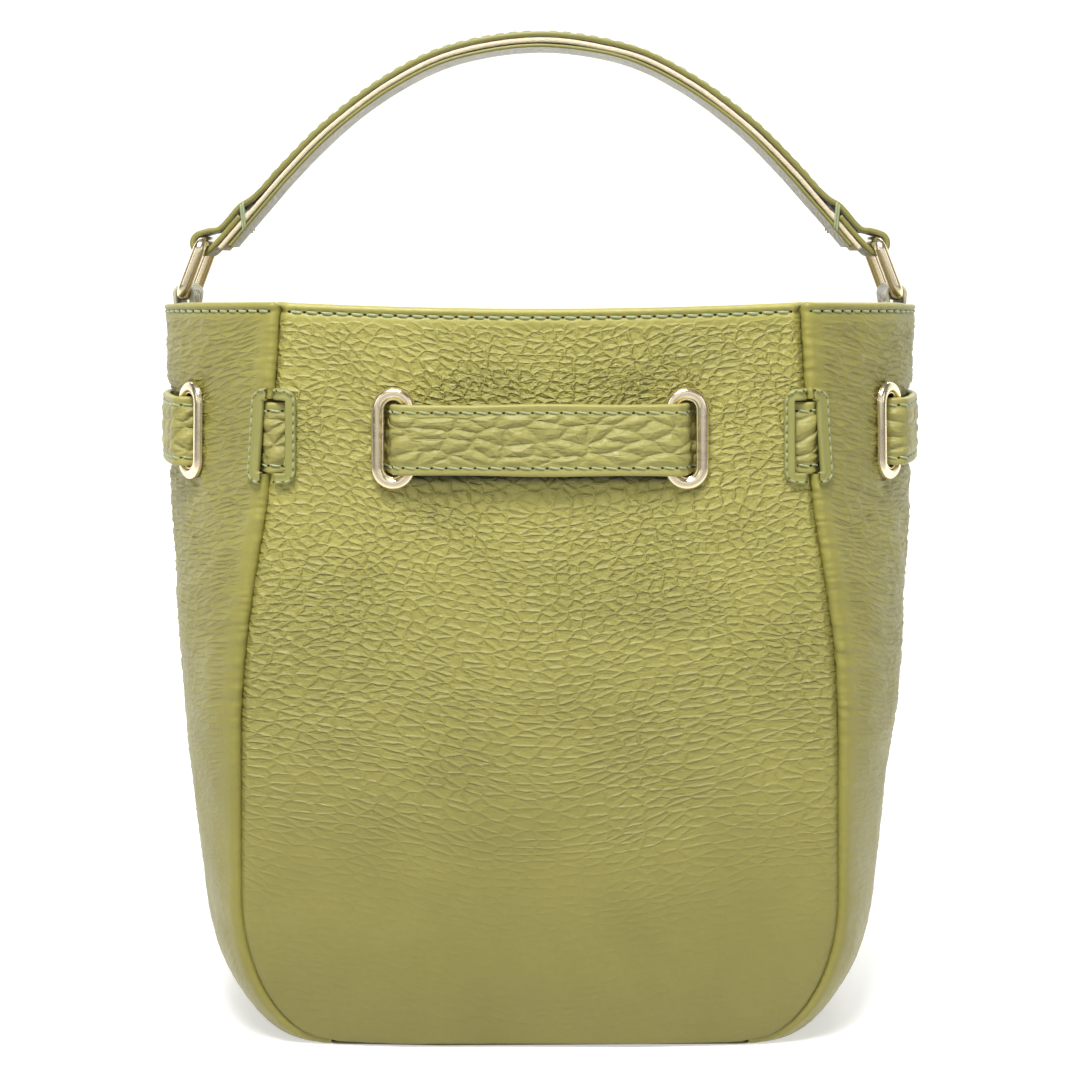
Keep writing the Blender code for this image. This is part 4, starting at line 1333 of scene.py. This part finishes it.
def strap(name, path, thickness, material, seed, grain=0.00012, width=STRAP_WIDTH):
    """A strap that follows an (x, z) path; its width lies along Y."""
    path = resample(np.asarray(path), 0.0006)
    y, lift, face = strap_section(width, thickness).T
    s = along(path)[:, None] * 1000
    yy = y * 1000 + 0 * s
    pattern = grain_place(s + 0 * yy, yy, (2.4, 3.4), seed)
    calm = smoothstep((width / 2 - 0.0012 - np.abs(y)) / 0.002)
    relief = np.abs(face) * calm * grain * (domed(pattern) - 1) * np.sign(face)
    bulge = thickness * 0.10 / 4 * face * (1 - (y / (width / 2)) ** 2)
    sway = 0.00016 * noise(s / 14 + 0 * yy, yy / 16, seed + 4)
    height = lift + relief + bulge + sway
    plane = path[:, None, :] + quarter_turn(heading(path))[:, None, :] * height[..., None]
    across = yy / 1000 + 0.00012 * noise(s / 9, 0 * yy, seed + 6)
    points = np.stack([plane[..., 0], across, plane[..., 1]], -1)
    obj = add_mesh(name, points, tube_faces(*yy.shape), material)
    # The underside's under value mixes in a painted reflection of the floor's glare.
    set_values(obj, yy.shape, {"grain": pattern, "strength": np.abs(face) * calm * 0.45,
                               "worn": (1 - np.abs(face)) * 0.4, "under": 0.8 * (face < 0)})
    outside_out(obj)
    return obj


def beside_plane(flat, end, y):
    """Points of one half of the handle, from its (x, z) plane to a distance y across it."""
    return np.stack([end * flat[:, 0], np.full(len(flat), y), flat[:, 1]], -1)


def make_handle():
    spine = Spine(HANDLE_SPINE)
    under = -(CORE_LAYER + GAP + INNER_LAYER / 2)
    for name, half, thickness, material, seed, how, slot in (
            ("top", outer_half(spine), OUTER_LAYER, STRAP_LEATHER, 301, {}, "olive_leather"),
            ("filler", spine.half(0.0020, -CORE_LAYER / 2), CORE_LAYER, CORE, 311,
             {"grain": 0.00003, "width": STRAP_WIDTH - 0.0002}, "edge_paint"),
            ("underside", spine.half(0.0045, under), INNER_LAYER, STRAP_LEATHER, 321, {},
             "olive_leather")):
        layer = strap(f"handle_{name}", mirrored(half), thickness, material, seed, **how)
        node = {"top": "outer", "filler": "core", "underside": "inner"}[name]
        settle(layer, "handle", slot, f"handle_{node}")
    sewing = Sewing(0.00034)
    surface = GAP + OUTER_LAYER * 1.02
    distances = np.linspace(0.024, spine.length - 0.002, 60)
    spots, above = (np.array([spine.spot(d, surface + up) for d in distances]) for up in (0, 0.001))
    for end in (-1, 1):
        lean = unit(beside_plane(above - spots, end, 0.0))
        for y in (-STRAP_STITCH, STRAP_STITCH):
            sewing.line(beside_plane(spots, end, y), lean, STRAP_PITCH)
    bar_tacks(sewing, spine)
    sewing.finish("handle", "handle")


def bar_tacks(sewing, spine):
    """Thread bars that bind the layers together across each edge, next to the rings."""
    low = -(CORE_LAYER + GAP + INNER_LAYER)
    levels = np.linspace(GAP + OUTER_LAYER + 0.0012, low - 0.0002, 9)
    for end in (-1, 1):
        for y in (-1, 1):
            for start, finish in ((0.0175, 0.0115), (0.0165, 0.0105)):
                reach = np.linspace(start, finish, 9)
                spots = np.array([spine.spot(*pair) for pair in zip(reach, levels)])
                sewing.tube(beside_plane(spots, end, y * (STRAP_WIDTH / 2 + 0.00015)),
                            np.tile((0.0, float(y), 0.0), (9, 1)))


def make_ring(name, side):
    """A rounded oblong ring that leans inwards, its two long bars parallel to Y."""
    low, high = np.array(RING_LOW), np.array(RING_HIGH)
    rise = np.linalg.norm(high - low)
    up = (high - low) / rise
    centre = (low + high) / 2
    bar = []
    for k in range(28):
        angle = 2 * math.pi * k / 28
        square = 1.0 / max(abs(math.cos(angle)) ** 4 + abs(math.sin(angle)) ** 4, 1e-9) ** 0.25
        reach = RING_BAR * (0.55 + 0.45 * min(square, 1.08))
        bar.append((reach * math.cos(angle), reach * math.sin(angle)))
    sections = []
    for turn, (way_y, way_h) in enumerate(((1, 1), (-1, 1), (-1, -1), (1, -1))):
        for step in range(13):
            angle = math.pi / 2 * (turn + step / 12)
            out = (math.cos(angle), math.sin(angle))
            y = way_y * (RING_HALF_SPAN - RING_CORNER) + RING_CORNER * out[0]
            h = way_h * (rise / 2 - RING_CORNER) + RING_CORNER * out[1]
            section = []
            for a, b in bar:
                height = h + a * out[1]
                x = centre[0] + up[0] * height + up[1] * b
                section.append((side * x, y + a * out[0], centre[1] + up[1] * height - up[0] * b))
            sections.append(section)
    ring = add_loft(f"{name}_link", sections, GOLD, closed=True)
    settle(ring, name, "pale_gold", name)


def make_tab(side_name, side):
    """One strap from inside the rim, round the ring's lower bar, and down inside again."""
    loop = TAB_RADIUS - TAB_LEATHER / 2
    path = [(0.11015, 0.1830), (0.1100, 0.1900), (0.10985, 0.1970), (0.1099, 0.2030),
            (0.1107, 0.2075)]
    path += arc(RING_LOW, (loop, loop), range(-20, 201, 22))
    path += [(0.1062, 0.2072), (0.1076, 0.2030), (0.10845, 0.1970), (0.1087, 0.1900),
             (0.1089, 0.1835)]
    fine = curve_through(path, 8)
    fine[:, 0] *= side
    tab = strap(f"{side_name}_tab_strap", fine, TAB_LEATHER, TAB_SURFACE, 401 + side, 0.00010)
    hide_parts(f"{side_name}_tab", f"{side_name}_tab_anchor")
    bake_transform(tab)
    sewing = Sewing(0.00030)
    x = side * (0.1087 - TAB_LEATHER / 2 - 0.0001)
    for height in (0.1850, 0.1935):
        line = np.array([(x, y, height) for y in np.linspace(-0.0080, 0.0080, 40)])
        sewing.line(line, np.tile((-float(side), 0.0, 0.0), (40, 1)), TAB_PITCH)
    sewing.finish(f"{side_name}_tab", "bag")


# Inside ----------------------------------------------------------------------------------


def make_lining():
    """One soft bag of cotton inside the leather, rippled all round, with its floor."""
    heights = np.linspace(0.024, LINING_TOP, 150)
    turns = ((panel_wall(-1), 0.94, 70, 1), (gusset_wall(1), 0.88, 60, 1),
             (panel_wall(1), 0.94, 70, -1), (gusset_wall(-1), 0.88, 60, -1))
    rows = []
    for v in heights:
        offset = -(0.0026 + 0.0044 * smoothstep((v - 0.125) / 0.020))
        rows.append(np.concatenate([on_wall(wall, np.linspace(-end, end, count) * way, v, offset)
                                    for wall, end, count, way in turns]))
    rows = np.array(rows)
    for _ in range(6):
        rows = (np.roll(rows, 1, 1) + 2 * rows + np.roll(rows, -1, 1)) / 4
    around = np.linspace(0, 1, rows.shape[1], endpoint=False)
    high = heights[:, None]
    inwards = -unit(rows * np.array((1, 1, 0)))
    wave = 0.0011 * (noise(around * 26, high * 18, 501) + 1)
    wave = wave + 0.0005 * (noise(around * 70, high * 60, 502) + 1)
    rows = rows + inwards * (wave * smoothstep((LINING_TOP - high) / 0.02))[..., None]
    floor = []
    for share in (0.08, 0.25, 0.45, 0.65, 0.8, 0.9, 0.97):
        ring = rows[0] * np.array((share, share, 1.0))
        drop = smoothstep((1 - share) / 0.2)
        ring[:, 2] = ring[:, 2] * (1 - drop) + drop * 0.0046
        floor.append(ring)
    lining = add_grid("lining_bag", np.concatenate([floor, rows]), LINING, loop_columns=True)
    thicken(lining, COTTON)
    settle(lining, "bag", "lining_fabric",
           *(f"lining_{part}" for part in ("back", "front", "left", "right", "base")))


def make_pocket():
    """A slip pocket on the front lining: a loose sheet with a folded, stitched hem."""
    wall = panel_wall(1)
    v = np.linspace(0.045, 0.121, 70)
    uu, vv = np.meshgrid(np.linspace(-0.60, 0.60, 90), v)
    sides = smoothstep((0.60 - np.abs(uu)) / 0.12) * smoothstep((vv - 0.045) / 0.02)
    gape = 0.0022 * sides * smoothstep((vv - 0.08) / 0.04)
    rumple = 0.0006 * sides * (noise(uu * 12, vv * 120, 601) + 1)
    hem = 0.0005 * smoothstep((vv - 0.1095) / 0.0008)
    points = on_wall(wall, uu, vv, -(0.0062 + gape + rumple + hem))
    pocket = add_grid("pocket_sheet", points, LINING)
    thicken(pocket, COTTON)
    settle(pocket, "bag", "lining_fabric", "slip_pocket")
    sewing = Sewing(0.00022)
    row = np.abs(v - 0.1105).argmin()
    inward = -outward(wall, uu[row], vv[row])
    sewing.line(points[row] + inward * 0.0004, inward, HEM_PITCH)
    sewing.finish("pocket", "bag")


# Studio ----------------------------------------------------------------------------------


def make_camera():
    """At the eye level of the rim, looking level at the back of the bag."""
    data = bpy.data.cameras.new("camera")
    data.lens = 70.3
    data.sensor_width = 36.0
    data.shift_y = -0.2685
    camera = link("camera", data)
    camera.location = (0.0, -0.650, 0.224)
    camera.rotation_euler = (math.radians(90), 0, 0)
    bpy.context.scene.camera = camera


def add_area(name, location, target, size, power):
    data = bpy.data.lights.new(name, "AREA")
    data.shape = "RECTANGLE"
    data.size, data.size_y = size
    data.energy = power
    light = link(name, data)
    light.location = location
    aim = Vector(target) - Vector(location)
    light.rotation_euler = aim.to_track_quat("-Z", "Y").to_euler()


def make_studio():
    """A white floor that curves up behind the bag, with a key light above and cards around."""
    sweep = [(y, 0.0) for y in np.linspace(-3.0, 1.6, 12)]
    sweep += [(1.6 + math.sin(angle), 1.0 - math.cos(angle))
              for angle in np.linspace(0, math.pi / 2, 14)[1:]]
    sweep.append((2.6, 4.0))
    points = np.array([[(x, y, z) for x in np.linspace(-5, 5, 9)] for y, z in sweep])
    add_grid("studio_sweep", points, studio_floor("glowing_studio_white"), flip=True)
    world = bpy.data.worlds.new("studio")
    world.use_nodes = True
    world.node_tree.nodes["Background"].inputs["Color"].default_value = (1.0, 1.0, 1.0, 1.0)
    world.node_tree.nodes["Background"].inputs["Strength"].default_value = 0.15
    bpy.context.scene.world = world
    for name, location, size, power in (
            ("key", (-0.12, -0.62, 1.20), (0.42, 0.42), 19),
            ("front_left", (-1.2, -1.1, 0.75), (0.6, 0.9), 2.4),
            ("front_right", (1.2, -1.1, 0.65), (0.6, 0.9), 2.0),
            ("side_left", (-1.1, 0.50, 0.40), (1.0, 0.8), 2.2),
            ("side_right", (1.1, 0.50, 0.40), (1.0, 0.8), 2.0),
            ("front_card", (0.0, -1.6, 0.55), (2.0, 0.9), 4),
            ("behind", (0.4, 1.0, 1.1), (0.8, 0.6), 6)):
        add_area(name, location, (0.0, 0.0, 0.13), size, power)
    add_area("backdrop", (0.0, 1.7, 2.4), (0.0, 2.6, 0.6), (3.0, 0.8), 60)
    bpy.context.scene.view_settings.view_transform = "Standard"


def main():
    make_camera()
    make_studio()
    for name, face in FACES:
        make_panel(name, face)
        use_material(f"magnet_{name}", STEEL)
    for name, side in SIDES:
        make_gusset(name, side)
    make_base()
    use_material("base_board", BOARD)
    make_eyelets()
    make_patches()
    make_rim_stitching()
    make_belt()
    make_lock()
    make_handle()
    for name, side in SIDES:
        make_ring(f"{name}_ring", side)
        make_tab(name, side)
    make_lining()
    make_pocket()


main()
